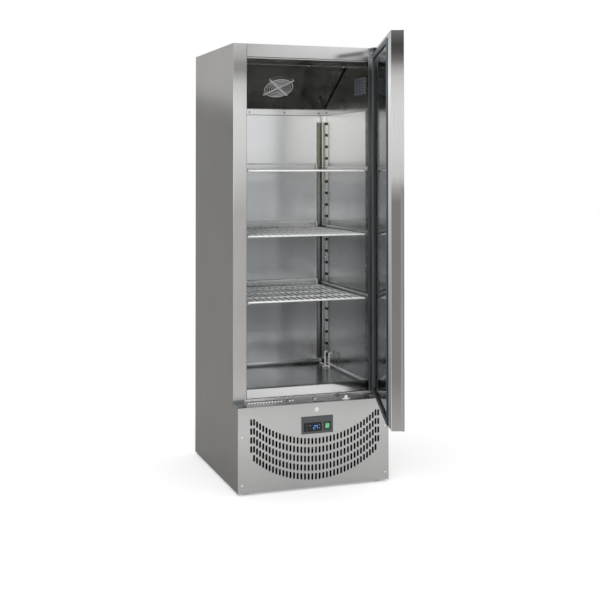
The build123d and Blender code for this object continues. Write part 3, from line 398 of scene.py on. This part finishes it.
# Painted light on the side walls: painted shade under each shelf, and a painted reflection that is lighter
# from about 1330 mm up.
sideWallPaintedLight = (up, [
    (405, "#848586"), (533, "#7b7c7d"), (616, "#6f7071"), (709, "#696a6b"), (780, "#757677"),
    (848, "#9c9d9e"), (900, "#828384"), (1033, "#6b6c6c"), (1125, "#a9abac"), (1218, "#898b8c"),
    (1285, "#989999"), (1327, "#bcbcba"), (1395, "#d2d2d0"), (1450, "#d2d2d0"), (1590, "#dcdcd9"),
    (1651, "#f0f0ed"), (1654, "#e8e7e3"), (1845, "#e2e1dd"),
])
slopeNormal = (0.0, 0.539, 0.842)
backLiner = brightSteel("brightAnnealedBackWallPaintedLight", {
    "tones": backWallPaintedLight,
    "patches": [(backRightPaintedLight, [(right, 70, 500, 200), (up, 0, 1654, 2)]),
                # Painted highlight on the strip at the right-hand corner.
                ("#ffffff", [(right, 285, 320, 2), (up, 0, 1654, 2)]),
                (cornerPaintedShade, [(right, 257, 284, 4), (up, 430, 1592, 10)])],
})
wallLiner = brightSteel("brightAnnealedSideWallPaintedLight", {
    "tones": sideWallPaintedLight,
    # Painted shade in the crease where the evaporator cover meets the side walls.
    "patches": [("#1c1c1b", [(slopeNormal, 1540, 1548, 3), (up, 1656, 1836, 4)])],
})
# Painted light on the band: a painted reflection lighter towards the left, and a painted shadow line along
# its lower edge.
bandLiner = brightSteel("brightAnnealedBandPaintedLight", {
    "tones": (right, [
        (-290, "#ffffff"), (100, "#fcfcfa"), (190, "#dededc"), (286, "#d2d1ce"), (290, "#cfcecb"),
    ]),
    "patches": [("#a4a4a2", [(up, 1600, 1625.5, 1.5)])],
})
darkLook = {
    "roughness": (0.14, 0.22), "smearContrast": 0.12, "smearSizes": (320.0, 160.0, 60.0), "waveRelief": 0.5,
}
# Painted dark reflection on the evaporator cover, lighter higher up, and one even tone painted over its right
# part.
coverLiner = brightSteel("brightAnnealedCoverPaintedLight", {
    "tones": (up, [(1655, "#76756f"), (1715, "#7d7c76"), (1770, "#96958e"), (1838, "#96958e")]),
    "patches": [("#7c7b76", [(right, 130, 600, 120), (up, 1600, 1760, 60)])],
    "look": darkLook,
})
# Painted shade on the ceiling, darker right of the middle, and a painted highlight as a light line along the
# flange's front edge.
ceilingLiner = brightSteel("brightAnnealedCeilingPaintedLight", {
    "tones": (right, [(-290, "#8c8b86"), (-20, "#8a8984"), (40, "#565551"), (290, "#4a4946")]),
    "patches": [("#e3e3e0", [(back, -32, -26, 2)])],
    "look": darkLook,
})
# Painted reflection on the cabinet's floor: lightest near the middle, darker towards the right.
floorLiner = brightSteel("brightAnnealedFloorPaintedLight", {
    "tones": (right, [
        (-290, "#bcbebf"), (-125, "#c4c6c7"), (-20, "#e0e2e3"), (97, "#d2d4d5"), (160, "#b8babb"),
        (215, "#9c9d9e"), (290, "#939495"),
    ]),
})
supportTones = (up, [(405, "#d8dadb"), (1100, "#dcdede"), (1650, "#ececea")])
# Painted shadow in and round each hook slot, repeated at the slots' 56.5 mm step.
slotShadowStep = (up, 446.5, 459.5, 3, 56.5)  # the dark row of hook slots
supportLiner = brightSteel("brightAnnealedSupportsPaintedShade", {
    "tones": supportTones,
    "patches": [("#2a2a29", [slotShadowStep, (back, 248, 258, 3)])],
})
frontSupportLiner = brightSteel("brightAnnealedFrontSupportsPaintedShade", {
    "tones": supportTones,
    # Painted shade on the faces that look left, darkest near 800 mm up.
    "faces": [((-1, 0, 0), wide, (up, [
        (405, "#6c6c6b"), (566, "#646463"), (793, "#4a4a49"), (1020, "#525251"), (1247, "#565655"),
        (1475, "#5e5e5d"), (1600, "#6c6c6a"),
    ]))],
    "patches": [("#141413", [slotShadowStep, (back, -255, -238, 3)])],
})
# Steel screws, zinc plated: pale, with small uneven glints.
screwHeads = brightSteel("zincPlatedScrews", {
    "tones": (up, [(0, "#cfcfcd"), (1900, "#e6e6e4")]),
    # Painted dark reflection on the heads that sit on the band, 1620 to 1654 mm up.
    "patches": [("#4c4c4a", [(up, 1620, 1654, 1)])],
    "look": {"waveSize": 8.0, "waveRelief": 0.02, "smearSizes": (3.0, 3.0, 3.0), "smearContrast": 0.1},
})
panBevel = (-0.896, -0.445, 0.0)  # the bevel along the pan's free edge looks this way
# Stainless steel, polished: a clear mirror with hardly a wave in it.
panMirror = brightSteel("mirrorStainlessDoorPanPaintedLight", {
    "tones": (up, [(371, "#d4d6d7"), (1895, "#d8dadb")]),
    # Painted reflection on the bevel along the free edge: darker low down, lightest near 1700 mm.
    "faces": [(panBevel, (0.86, 0.95), (up, [
        (385, "#767c7e"), (610, "#7c7c7c"), (830, "#949494"), (1075, "#aaaaaa"), (1310, "#c0c0bf"),
        (1550, "#d6d6d5"), (1700, "#ececeb"), (1790, "#c8c8c8"), (1880, "#b8b8b8"),
    ]))],
    "look": {"roughness": (0.03, 0.06), "smearContrast": 0.02, "waveRelief": 0.25},
    "constants": {"Specular Tint": (0.48, 0.49, 0.5, 1.0)},
})


# Steel sheet, hot-dip galvanised: the zinc freezes in crystals about 12 mm across, each with its own grey.
galvanised = {
    "crystal": 12.0, "dark": "#8b9093", "light": "#a9adaf", "roughness": (0.38, 0.52),
    "grainSize": 3.0, "relief": 0.02,
}


def galvanisedSheet():
    material, tree, shader, place = newMaterial("hotDipGalvanisedSheet", {"Metallic": 1.0})
    crystals = addNode(tree, "ShaderNodeTexVoronoi", {"Scale": 1 / (galvanised["crystal"] * mm)},
                       {"Vector": place.outputs["Object"]})
    tint = addNode(tree, "ShaderNodeSeparateColor", links={0: crystals.outputs["Color"]}).outputs[0]
    ramp = addNode(tree, "ShaderNodeValToRGB", links={"Fac": tint})
    ramp.color_ramp.elements[0].color = toLinear(galvanised["dark"])
    ramp.color_ramp.elements[1].color = toLinear(galvanised["light"])
    tree.links.new(ramp.outputs["Color"], shader.inputs["Base Color"])
    roughness = between(tree, tint, *galvanised["roughness"], source=(0.0, 1.0))
    tree.links.new(roughness, shader.inputs["Roughness"])
    addBump(tree, shader, stretchedNoise(tree, place, [galvanised["grainSize"]] * 3), galvanised["relief"])
    return material


def moulded(name, finish):
    # one colour with a faint mottle, a surface grain of the given size and its gloss
    constants = {"Metallic": finish.get("metallic", 0.0), **finish.get("constants", {})}
    material, tree, shader, place = newMaterial(name, constants)
    mottle = stretchedNoise(tree, place, [finish["mottleSize"]] * 3, detail=3.0)
    colour = mixColours(tree, between(tree, mottle, 0.0, 1.0), finish["dark"], finish["light"])
    # Painted shade: a finish's shade tones darken its colour.
    if "shade" in finish:
        colour = addNode(tree, "ShaderNodeVectorMath", {"operation": "MULTIPLY"},
                         {0: colour, 1: tonedColour(tree, place, finish["shade"])}).outputs[0]
    tree.links.new(colour, shader.inputs["Base Color"])
    tree.links.new(between(tree, mottle, *finish["roughness"]), shader.inputs["Roughness"])
    grain = stretchedNoise(tree, place, [finish["grainSize"]] * 3, detail=2.0)
    addBump(tree, shader, grain, finish["relief"])
    return material


galvanisedMaterial = galvanisedSheet()
# Steel sheet, painted near black as shade, as hardly any light reaches it behind the slots.
darkSheet = moulded("steelSheetPaintedShade", {
    "light": "#121313", "dark": "#0b0c0c", "mottleSize": 35.0, "roughness": (0.6, 0.75),
    "grainSize": 1.2, "relief": 0.03, "constants": {"Specular IOR Level": 0.08},
})
# Steel wire dipped in white polyethylene: a thick soft-edged skin with a low gloss.
coatedWire = moulded("dippedPolyethyleneWire", {
    "light": "#f4f5f3", "dark": "#e6e8e6", "mottleSize": 40.0, "roughness": (0.32, 0.42),
    "grainSize": 2.0, "relief": 0.04,
})
# Drawn steel wire, zinc plated and lacquered clear: pale grey, bright on its upper side.
platedWire = moulded("zincPlatedWire", {
    "light": "#fafafa", "dark": "#ececec", "mottleSize": 8.0, "roughness": (0.3, 0.4),
    "grainSize": 1.0, "relief": 0.01, "metallic": 0.1,
})
# Polyurethane foamed in place: cream, matt, with small cells.
foam = moulded("foamedPolyurethane", {
    "light": "#e4d6ab", "dark": "#cdbc8c", "mottleSize": 25.0, "roughness": (0.85, 0.95),
    "grainSize": 1.5, "relief": 0.3,
})
# Extruded soft PVC: teal grey, with a low waxy sheen.
softPvc = moulded("extrudedSoftPvcPaintedShade", {
    "light": "#4f585c", "dark": "#434b50", "mottleSize": 60.0, "roughness": (0.42, 0.55),
    "grainSize": 1.2, "relief": 0.02,
    # Painted shade on the gasket: darker towards the bottom, and left undarkened on the limb at the hinge
    # side.
    "shade": {
        "tones": (up, [
            (385, "#787878"), (480, "#808080"), (900, "#a8a8a8"), (1075, "#b4b4b4"), (1260, "#dedede"),
            (1450, "#f0f0f0"), (1700, "#ffffff"),
        ]),
        "patches": [("#ffffff", [(freeEdge, 150, 240, 4)])],
    },
})
# ABS moulded in a spark-eroded tool: near black, with a fine even grain.
blackAbs = moulded("mouldedBlackAbs", {
    "light": "#232425", "dark": "#17181a", "mottleSize": 20.0, "roughness": (0.42, 0.55),
    "grainSize": 0.8, "relief": 0.03,
})
# ABS moulded in mid grey: an even, soft sheen.
capAbs = moulded("mouldedGreyAbs", {
    "light": "#75777a", "dark": "#606265", "mottleSize": 20.0, "roughness": (0.3, 0.42),
    "grainSize": 0.8, "relief": 0.03,
})
# ABS moulded white in a polished tool: smooth, with a clear highlight.
whiteAbs = moulded("mouldedWhiteAbs", {
    "light": "#f2f2f0", "dark": "#e4e4e2", "mottleSize": 15.0, "roughness": (0.22, 0.32),
    "grainSize": 0.8, "relief": 0.015,
})
# ABS moulded glossy: black, and darker than the grained parts round it.
windowAbs = moulded("mouldedGlossyAbs", {
    "light": "#131416", "dark": "#0d0e0f", "mottleSize": 20.0, "roughness": (0.3, 0.4),
    "grainSize": 0.8, "relief": 0.02, "constants": {"Specular IOR Level": 0.3},
})
# Silicone, moulded: dark grey and matt.
keyRubber = moulded("mouldedSilicone", {
    "light": "#4a4c4e", "dark": "#404244", "mottleSize": 4.0, "roughness": (0.55, 0.65),
    "grainSize": 0.5, "relief": 0.02,
})
# Acetal left in its natural colour, turned: milky, slightly glossy.
acetal = moulded("turnedAcetal", {
    "light": "#ebe9e2", "dark": "#dedcd4", "mottleSize": 8.0, "roughness": (0.3, 0.4),
    "grainSize": 0.6, "relief": 0.02,
})
# Cast zinc, nickel plated and buffed: bright, with tight highlights.
nickel = moulded("buffedNickelPlate", {
    "light": "#d8d8d6", "dark": "#c2c2c0", "mottleSize": 3.0, "roughness": (0.12, 0.2),
    "grainSize": 0.5, "relief": 0.01, "metallic": 1.0,
})
# Pressed steel shell, dipped in black stoving enamel: black, with a slightly uneven gloss.
enamel = moulded("stovedBlackEnamel", {
    "light": "#131414", "dark": "#0c0d0d", "mottleSize": 30.0, "roughness": (0.3, 0.42),
    "grainSize": 5.0, "relief": 0.05, "constants": {"Specular IOR Level": 0.2},
})
# Aluminium, pressure die cast and left raw: grey, slightly grainy.
castAluminium = moulded("dieCastAluminium", {
    "light": "#9fa1a3", "dark": "#86888a", "mottleSize": 6.0, "roughness": (0.4, 0.5),
    "grainSize": 1.0, "relief": 0.05, "metallic": 1.0,
})
# Rolled aluminium fin stock: pale, with a soft metal sheen.
finStock = moulded("rolledAluminiumFins", {
    "light": "#c3c5c7", "dark": "#a9abad", "mottleSize": 14.0, "roughness": (0.3, 0.4),
    "grainSize": 2.0, "relief": 0.02, "metallic": 1.0,
})
# The same fin stock, painted near black as shade, as hardly any light reaches it behind the slots: dull
# black.
finsInShade = moulded("finStockPaintedShade", {
    "light": "#161718", "dark": "#0c0d0d", "mottleSize": 14.0, "roughness": (0.5, 0.65),
    "grainSize": 2.0, "relief": 0.02, "constants": {"Specular IOR Level": 0.08},
})
# Drawn copper tube: orange, with brown oxide in patches.
copper = moulded("drawnCopperTube", {
    "light": "#d08a62", "dark": "#a25f40", "mottleSize": 25.0, "roughness": (0.22, 0.38),
    "grainSize": 1.0, "relief": 0.02, "metallic": 1.0,
})
print("plain materials made")


# Polyester label, printed with an empty table: pale blue-grey with darker rules.
# ruleStep is in millimetres along Y and Z, ruleWidth is a share of it.
plateLabel = {
    "paper": "#6f757d", "rule": "#2b2f34", "ruleStep": (34.2, 13.0), "ruleWidth": 0.2,
    "roughness": 0.4, "grainSize": 4.0, "relief": 0.01,
}


def labelMaterial():
    constants = {"Roughness": plateLabel["roughness"]}
    material, tree, shader, place = newMaterial("printedPolyesterLabel", constants)
    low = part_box("data_plate")[0]
    colour = plateLabel["paper"]
    axes = addNode(tree, "ShaderNodeSeparateXYZ", links={0: place.outputs["Object"]})
    for axis, start, step in zip("YZ", (low.y, low.z), plateLabel["ruleStep"]):
        cells = calculated(tree, "DIVIDE", calculated(tree, "SUBTRACT", axes.outputs[axis], start), step * mm)
        rule = calculated(tree, "LESS_THAN", calculated(tree, "FRACT", cells), plateLabel["ruleWidth"])
        colour = mixColours(tree, rule, colour, plateLabel["rule"])
    tree.links.new(colour, shader.inputs["Base Color"])
    addBump(tree, shader, stretchedNoise(tree, place, [plateLabel["grainSize"]] * 3), plateLabel["relief"])
    return material


# Polycarbonate rocker, moulded green in the middle and lit from behind, with black cheeks.
rockerLook = {
    "glow": 0.22, "lit": (46.2, 63.8), "cheek": "#0e0f0f",
    "roughness": 0.25, "grainSize": 1.5, "relief": 0.02,
    "green": [(251, "#3f9057"), (263, "#6cb47e"), (281, "#47985e")],
}


def rockerMaterial():
    material, tree, shader, place = newMaterial("mouldedGreenPolycarbonate", {
        "Emission Strength": rockerLook["glow"], "Roughness": rockerLook["roughness"],
    })
    lit = insideMask(tree, place, [(right, *rockerLook["lit"], 1.0)])
    colour = mixColours(tree, lit, rockerLook["cheek"], toneAlong(tree, place, up, rockerLook["green"]))
    tree.links.new(colour, shader.inputs["Base Color"])
    tree.links.new(colour, shader.inputs["Emission Color"])
    addBump(tree, shader, stretchedNoise(tree, place, [rockerLook["grainSize"]] * 3), rockerLook["relief"])
    return material


def litMaterial(name, colour, glow):
    # an evenly lit lens: its colour, with a trace of white in soft spots
    material, tree, shader, place = newMaterial(name, {
        "Emission Color": toLinear(colour), "Emission Strength": glow, "Roughness": 0.3,
    })
    spots = between(tree, stretchedNoise(tree, place, [2.0] * 3), 0.0, 0.1)
    tree.links.new(mixColours(tree, spots, colour, "#ffffff"), shader.inputs["Base Color"])
    return material


# Control plate: printed film, with the moulded black frame of the rocker in the same node.
controlPlate = {
    "frameX": (38.8, 71.2), "frameZ": (247.8, 283.2), "frameEdge": 0.2, "frame": "#121313",
    "film": [(236, "#434445"), (273, "#47484a"), (309, "#404143")],
    "roughness": 0.4, "grainSize": 1.2, "relief": 0.01,
}


def controlPlateMaterial():
    look = controlPlate
    material, tree, shader, place = newMaterial("printedFilmWithBlackFrame", {"Roughness": look["roughness"]})
    film = toneAlong(tree, place, up, look["film"])
    inside = insideMask(tree, place, [
        (right, *look["frameX"], look["frameEdge"]), (up, *look["frameZ"], look["frameEdge"]),
    ])
    tree.links.new(mixColours(tree, inside, film, look["frame"]), shader.inputs["Base Color"])
    addBump(tree, shader, stretchedNoise(tree, place, [look["grainSize"]] * 3), look["relief"])
    return material


finishes = {
    leftSteel: ["left_side_panel"],
    rightSteel: ["right_side_panel"],
    plainSteel: ["top_panel", "hinge_top", "hinge_bottom"],
    railSteel: ["top_rail"],
    sillSteel: ["sill"],
    panelSteel: ["front_panel"],
    doorSteel: ["door_skin"],
    ledgeSteel: ["ledge_plate"],
    galvanisedMaterial: ["levelling_feet", "back_panel", "rear_grille"],
    darkSheet: ["base_tray"],
    backLiner: ["liner_back"],
    wallLiner: ["liner_left", "liner_right"],
    bandLiner: ["wall_band"],
    ceilingLiner: ["liner_ceiling"],
    floorLiner: ["liner_floor"],
    coverLiner: ["evaporator_cover"],
    supportLiner: ["pilasters_rear", "runners_1", "runners_2", "runners_3"],
    frontSupportLiner: ["pilasters_front"],
    panMirror: ["door_inner_panel"],
    coatedWire: ["shelf_1", "shelf_2", "shelf_3", "shelf_1_stop", "shelf_2_stop", "shelf_3_stop",
                 "spare_shelf_clips"],
    platedWire: ["fan_guard"],
    screwHeads: ["fixing_screws"],
    foam: ["body_foam", "door_foam"],
    blackAbs: ["evaporator_fan", "air_probe", "condenser_fan", "cable_gland"],
    windowAbs: ["controller"],
    capAbs: ["end_cap"],
    whiteAbs: ["door_sensor"],
    keyRubber: ["key_upper", "key_lower"],
    acetal: ["hinge_bushes"],
    nickel: ["lock_plug", "lock_barrel"],
    enamel: ["compressor", "condenser_motor"],
    castAluminium: ["evaporator_motor"],
    finStock: ["evaporator_coil"],
    finsInShade: ["condenser_coil"],
    copper: ["refrigerant_line"],
    labelMaterial(): ["data_plate"],
    rockerMaterial(): ["rocker"],
    controlPlateMaterial(): ["control_plate"],
}
for material, members in finishes.items():
    for member in members:
        slots = nodes[member].material_slots
        if not slots:
            nodes[member].data.materials.append(material)
        for materialSlot in slots:
            materialSlot.material = material
print("finishes on the frame's nodes")


# Pieces
def addPiece(name, mesh, material, body):
    piece = bpy.data.objects.new(name, mesh)
    bpy.context.scene.collection.objects.link(piece)
    mesh.materials.append(material)
    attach(piece, body)
    return piece


def meshFrom(name, build):
    mesh = bpy.data.meshes.new(name)
    form = bmesh.new()
    build(form)
    bmesh.ops.recalc_face_normals(form, faces=form.faces)
    form.to_mesh(mesh)
    form.free()
    return mesh


def doorOpening():
    # turns a point of the shut door to where the open door has it
    swing = joints["door_swing"]
    pivot = Vector(swing["pos_m"])
    turn = Matrix.Rotation(math.radians(-swing["range_deg"][0]), 4, "Z")
    return Matrix.Translation(pivot) @ turn @ Matrix.Translation(-pivot)


# Magnetic gasket: clipped-in base, folding neck and magnet head, mitred and welded at the corners.
# x and z are its outer edges with the door shut, y is the face it is fixed to.
gasket = {
    "x": (-328.5, 320.5),
    "z": (387.0, 1868.0),
    "y": -294.8,
    # (inward from the outer edge, forward from the pan), round the section
    "section": [
        (0.4, 0.0), (19.6, 0.0), (20.0, 0.6), (19.4, 1.6), (16.4, 1.9), (15.6, 2.6), (16.8, 3.3),
        (19.0, 3.7), (19.9, 4.6), (19.7, 6.0), (18.8, 6.7), (12.6, 6.85), (12.0, 6.1), (8.2, 6.1),
        (7.6, 6.85), (1.4, 6.7), (0.4, 6.0), (0.2, 4.6), (1.1, 3.7), (3.2, 3.3), (4.4, 2.6),
        (3.6, 1.9), (0.6, 1.6), (0.0, 0.6),
    ],
}


def buildGasket(form):
    place = doorOpening()
    (left, rightEdge), (bottom, top) = gasket["x"], gasket["z"]
    rings = []
    for horizontal, vertical in ((0, 0), (1, 0), (1, 1), (0, 1)):
        ring = []
        for inset, rise in gasket["section"]:
            x = rightEdge - inset if horizontal else left + inset
            z = top - inset if vertical else bottom + inset
            ring.append(form.verts.new(place @ (Vector((x, gasket["y"] + rise, z)) * mm)))
        rings.append(ring)
    count = len(gasket["section"])
    for corner in range(4):
        near, far = rings[corner], rings[(corner + 1) % 4]
        for step in range(count):
            after = (step + 1) % count
            form.faces.new((near[step], near[after], far[after], far[step]))


gasketPiece = addPiece("door_gasket_bellows", meshFrom("door_gasket_bellows", buildGasket), softPvc, "door")
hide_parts("door_gasket")
print("gasket made")

# Readout of the controller: two slanted seven-segment digits on the window, small lamps beside them.
# windowProud is how far the window stands in front of the panel; gap and tip are shares of half a segment.
readout = {
    "left": -10.0,
    "bottom": 255.6,
    "digitWidth": 7.8,
    "digitHeight": 15.0,
    "digitPitch": 11.0,
    "segment": 1.9,
    "gap": 1.2,
    "tip": 0.9,
    "slant": 0.16,
    "rise": 0.25,
    "windowProud": 4.1,
    "digits": ("abged", "abcf"),
    "colour": "#2f8fe6",
    "glow": 0.5,
    # place and colour of each lamp
    "lamps": {
        "upper": ((18.4, 272.6), "#a4a9ab"), "lower": ((18.4, 258.8), "#aca8a6"),
        "left": ((-24.4, 271.4), "#a4aab0"),
    },
    "lampRadius": 1.5,
    "lampSides": 12,
    "lampGlow": 0.3,
}
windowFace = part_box("front_panel")[0].y / mm - readout["windowProud"]


def addPrism(form, outline, near, depth):
    # outline is a list of (x, z) in millimetres, seen from the front
    front = [form.verts.new(Vector((x, near, z)) * mm) for x, z in outline]
    rear = [form.verts.new(Vector((x, near + depth, z)) * mm) for x, z in outline]
    form.faces.new(front)
    form.faces.new(list(reversed(rear)))
    for step in range(len(outline)):
        after = (step + 1) % len(outline)
        form.faces.new((front[after], front[step], rear[step], rear[after]))


def segmentOutline(letter):
    # a pointed bar of a digit, in the digit's own corner
    wide, tall, half = readout["digitWidth"], readout["digitHeight"], readout["segment"] / 2
    middle = tall / 2
    ends = {
        "a": ((0, tall), (wide, tall)), "b": ((wide, middle), (wide, tall)),
        "c": ((wide, 0), (wide, middle)),
        "d": ((0, 0), (wide, 0)), "e": ((0, 0), (0, middle)), "f": ((0, middle), (0, tall)),
        "g": ((0, middle), (wide, middle)),
    }
    start, end = (Vector(point) for point in ends[letter])
    run = (end - start).normalized()
    across = Vector((-run.y, run.x)) * half
    inner, outer = start + run * half * readout["gap"], end - run * half * readout["gap"]
    tip = run * half * readout["tip"]
    return [inner - tip, inner - across, outer - across, outer + tip, outer + across, inner + across]


def buildDigits(form):
    for order, letters in enumerate(readout["digits"]):
        for letter in letters:
            outline = []
            for point in segmentOutline(letter):
                x = readout["left"] + order * readout["digitPitch"] + point.x + point.y * readout["slant"]
                outline.append((x, readout["bottom"] + point.y))
            addPrism(form, outline, windowFace - readout["rise"], readout["rise"])


def buildLamp(form, place):
    outline = []
    for order in range(readout["lampSides"]):
        turn = order * math.pi / (readout["lampSides"] / 2)
        x = place[0] + readout["lampRadius"] * math.cos(turn)
        outline.append((x, place[1] + readout["lampRadius"] * math.sin(turn)))
    addPrism(form, outline, windowFace - readout["rise"], readout["rise"])


readoutBlue = litMaterial("litBlueReadout", readout["colour"], readout["glow"])
addPiece("readout_digits", meshFrom("readout_digits", buildDigits), readoutBlue, "cabinet")
for lampName, (lampPlace, lampColour) in readout["lamps"].items():
    lampMesh = meshFrom("lamp_" + lampName, lambda form: buildLamp(form, lampPlace))
    lampLens = litMaterial("litLamp_" + lampName, lampColour, readout["lampGlow"])
    addPiece("lamp_" + lampName, lampMesh, lampLens, "cabinet")
print("readout made")

# White domed plugs in some of the ledge's holes; orders are those holes, counted from 0 at the left
plug = {
    "firstX": -286.0, "pitch": 13.0, "y": -295.5, "radius": 4.8, "height": 5.6, "rings": 5, "sides": 20,
    "orders": [*range(1, 13), 15, 16, 24],
}
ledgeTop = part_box("ledge_plate")[1].z / mm


def buildPlugs(form):
    for order in plug["orders"]:
        centre = Vector((plug["firstX"] + plug["pitch"] * order, plug["y"], ledgeTop))
        loops = []
        for ring in range(plug["rings"]):
            lift = math.pi / 2 * ring / plug["rings"]
            radius, height = plug["radius"] * math.cos(lift), plug["height"] * math.sin(lift)
            loop = []
            for side in range(plug["sides"]):
                angle = 2 * math.pi * side / plug["sides"]
                offset = Vector((radius * math.cos(angle), radius * math.sin(angle), height))
                loop.append(form.verts.new((centre + offset) * mm))
            loops.append(loop)
        crown = form.verts.new((centre + Vector((0, 0, plug["height"]))) * mm)
        for low, high in zip(loops, loops[1:]):
            for side in range(plug["sides"]):
                after = (side + 1) % plug["sides"]
                form.faces.new((low[side], low[after], high[after], high[side]))
        for side in range(plug["sides"]):
            form.faces.new((loops[-1][side], loops[-1][(side + 1) % plug["sides"]], crown))
        form.faces.new(list(reversed(loops[0])))
    for face in form.faces:
        face.smooth = True


addPiece("ledge_plugs", meshFrom("ledge_plugs", buildPlugs), whiteAbs, "cabinet")
print("plugs made")


# Floor, light and camera
def buildFloor(form):
    reach = 40.0
    corners = [form.verts.new((x * reach, y * reach, 0.0)) for x, y in ((-1, -1), (1, -1), (1, 1), (-1, 1))]
    form.faces.new(corners)


def seenDirectly(tree):
    # 1 for what the camera, a mirror or a clear part sees
    rays = addNode(tree, "ShaderNodeLightPath")
    seen = rays.outputs["Is Camera Ray"]
    for name in ("Is Glossy Ray", "Is Transmission Ray"):
        seen = calculated(tree, "MAXIMUM", seen, rays.outputs[name])
    return seen


# world is the strength of the even light, floorLift the floor's own glow where it is seen
studio = {"world": 0.85, "floor": "#e0e0e0", "floorLift": 0.38}


def makeStudio():
    floorMesh = meshFrom("floor", buildFloor)
    floor = bpy.data.objects.new("floor", floorMesh)
    bpy.context.scene.collection.objects.link(floor)
    material, tree, shader, place = newMaterial("paleFloor", {
        "Base Color": toLinear(studio["floor"]), "Roughness": 0.9, "Specular IOR Level": 0.0,
    })
    lift = addNode(tree, "ShaderNodeEmission", {"Color": (1, 1, 1, 1)})
    tree.links.new(between(tree, seenDirectly(tree), 0.0, studio["floorLift"], source=(0.0, 1.0)),
                   lift.inputs["Strength"])
    both = addNode(tree, "ShaderNodeAddShader", links={0: shader.outputs[0], 1: lift.outputs[0]})
    tree.links.new(both.outputs[0], tree.nodes["Material Output"].inputs["Surface"])
    floorMesh.materials.append(material)
    world = bpy.data.worlds.new("studioWorld")
    bpy.context.scene.world = world
    world.use_nodes = True
    air = world.node_tree
    background = air.nodes["Background"]
    background.inputs["Color"].default_value = (1, 1, 1, 1)
    air.links.new(between(air, seenDirectly(air), studio["world"], 1.0, source=(0.0, 1.0)),
                  background.inputs["Strength"])


# Soft boxes: place, size and power; all aim at the middle of the cabinet
softBoxes = {
    "keyBox": {"place": (-2.6, -3.4, 3.4), "size": 2.4, "power": 40.0},
    "fillBox": {"place": (3.2, -2.6, 2.2), "size": 2.6, "power": 18.0},
    "frontBox": {"place": (-0.9, -3.2, 1.5), "size": 1.6, "power": 30.0},
}


def makeLights():
    aim = Vector((0.0, -0.1, 0.9))
    for name, settings in softBoxes.items():
        lamp = bpy.data.lights.new(name, "AREA")
        lamp.shape = "SQUARE"
        lamp.size = settings["size"]
        lamp.energy = settings["power"]
        box = bpy.data.objects.new(name, lamp)
        box.visible_glossy = False  # the steel mirrors the even white studio, not the lamps
        box.location = settings["place"]
        box.rotation_euler = (aim - box.location).to_track_quat("-Z", "Y").to_euler()
        bpy.context.scene.collection.objects.link(box)


cameraSet = {
    "place": (-1.62555, -4.73391, 1.37698),
    "pitch": 0.96,
    "turn": -19.26,
    "lens": 65.3,
    "shift": (0.011, -0.254),
    "sensor": 36.0,
    "farLimit": 200.0,
}


def makeCamera():
    camera = bpy.data.objects.new("camera", bpy.data.cameras.new("camera"))
    camera.location = cameraSet["place"]
    camera.rotation_euler = (math.radians(90 + cameraSet["pitch"]), 0.0, math.radians(cameraSet["turn"]))
    camera.data.lens = cameraSet["lens"]
    camera.data.sensor_width = cameraSet["sensor"]
    camera.data.shift_x, camera.data.shift_y = cameraSet["shift"]
    camera.data.clip_end = cameraSet["farLimit"]
    bpy.context.scene.collection.objects.link(camera)
    bpy.context.scene.camera = camera


makeStudio()
makeLights()
makeCamera()
bpy.context.scene.view_settings.view_transform = "Standard"
print("studio made")
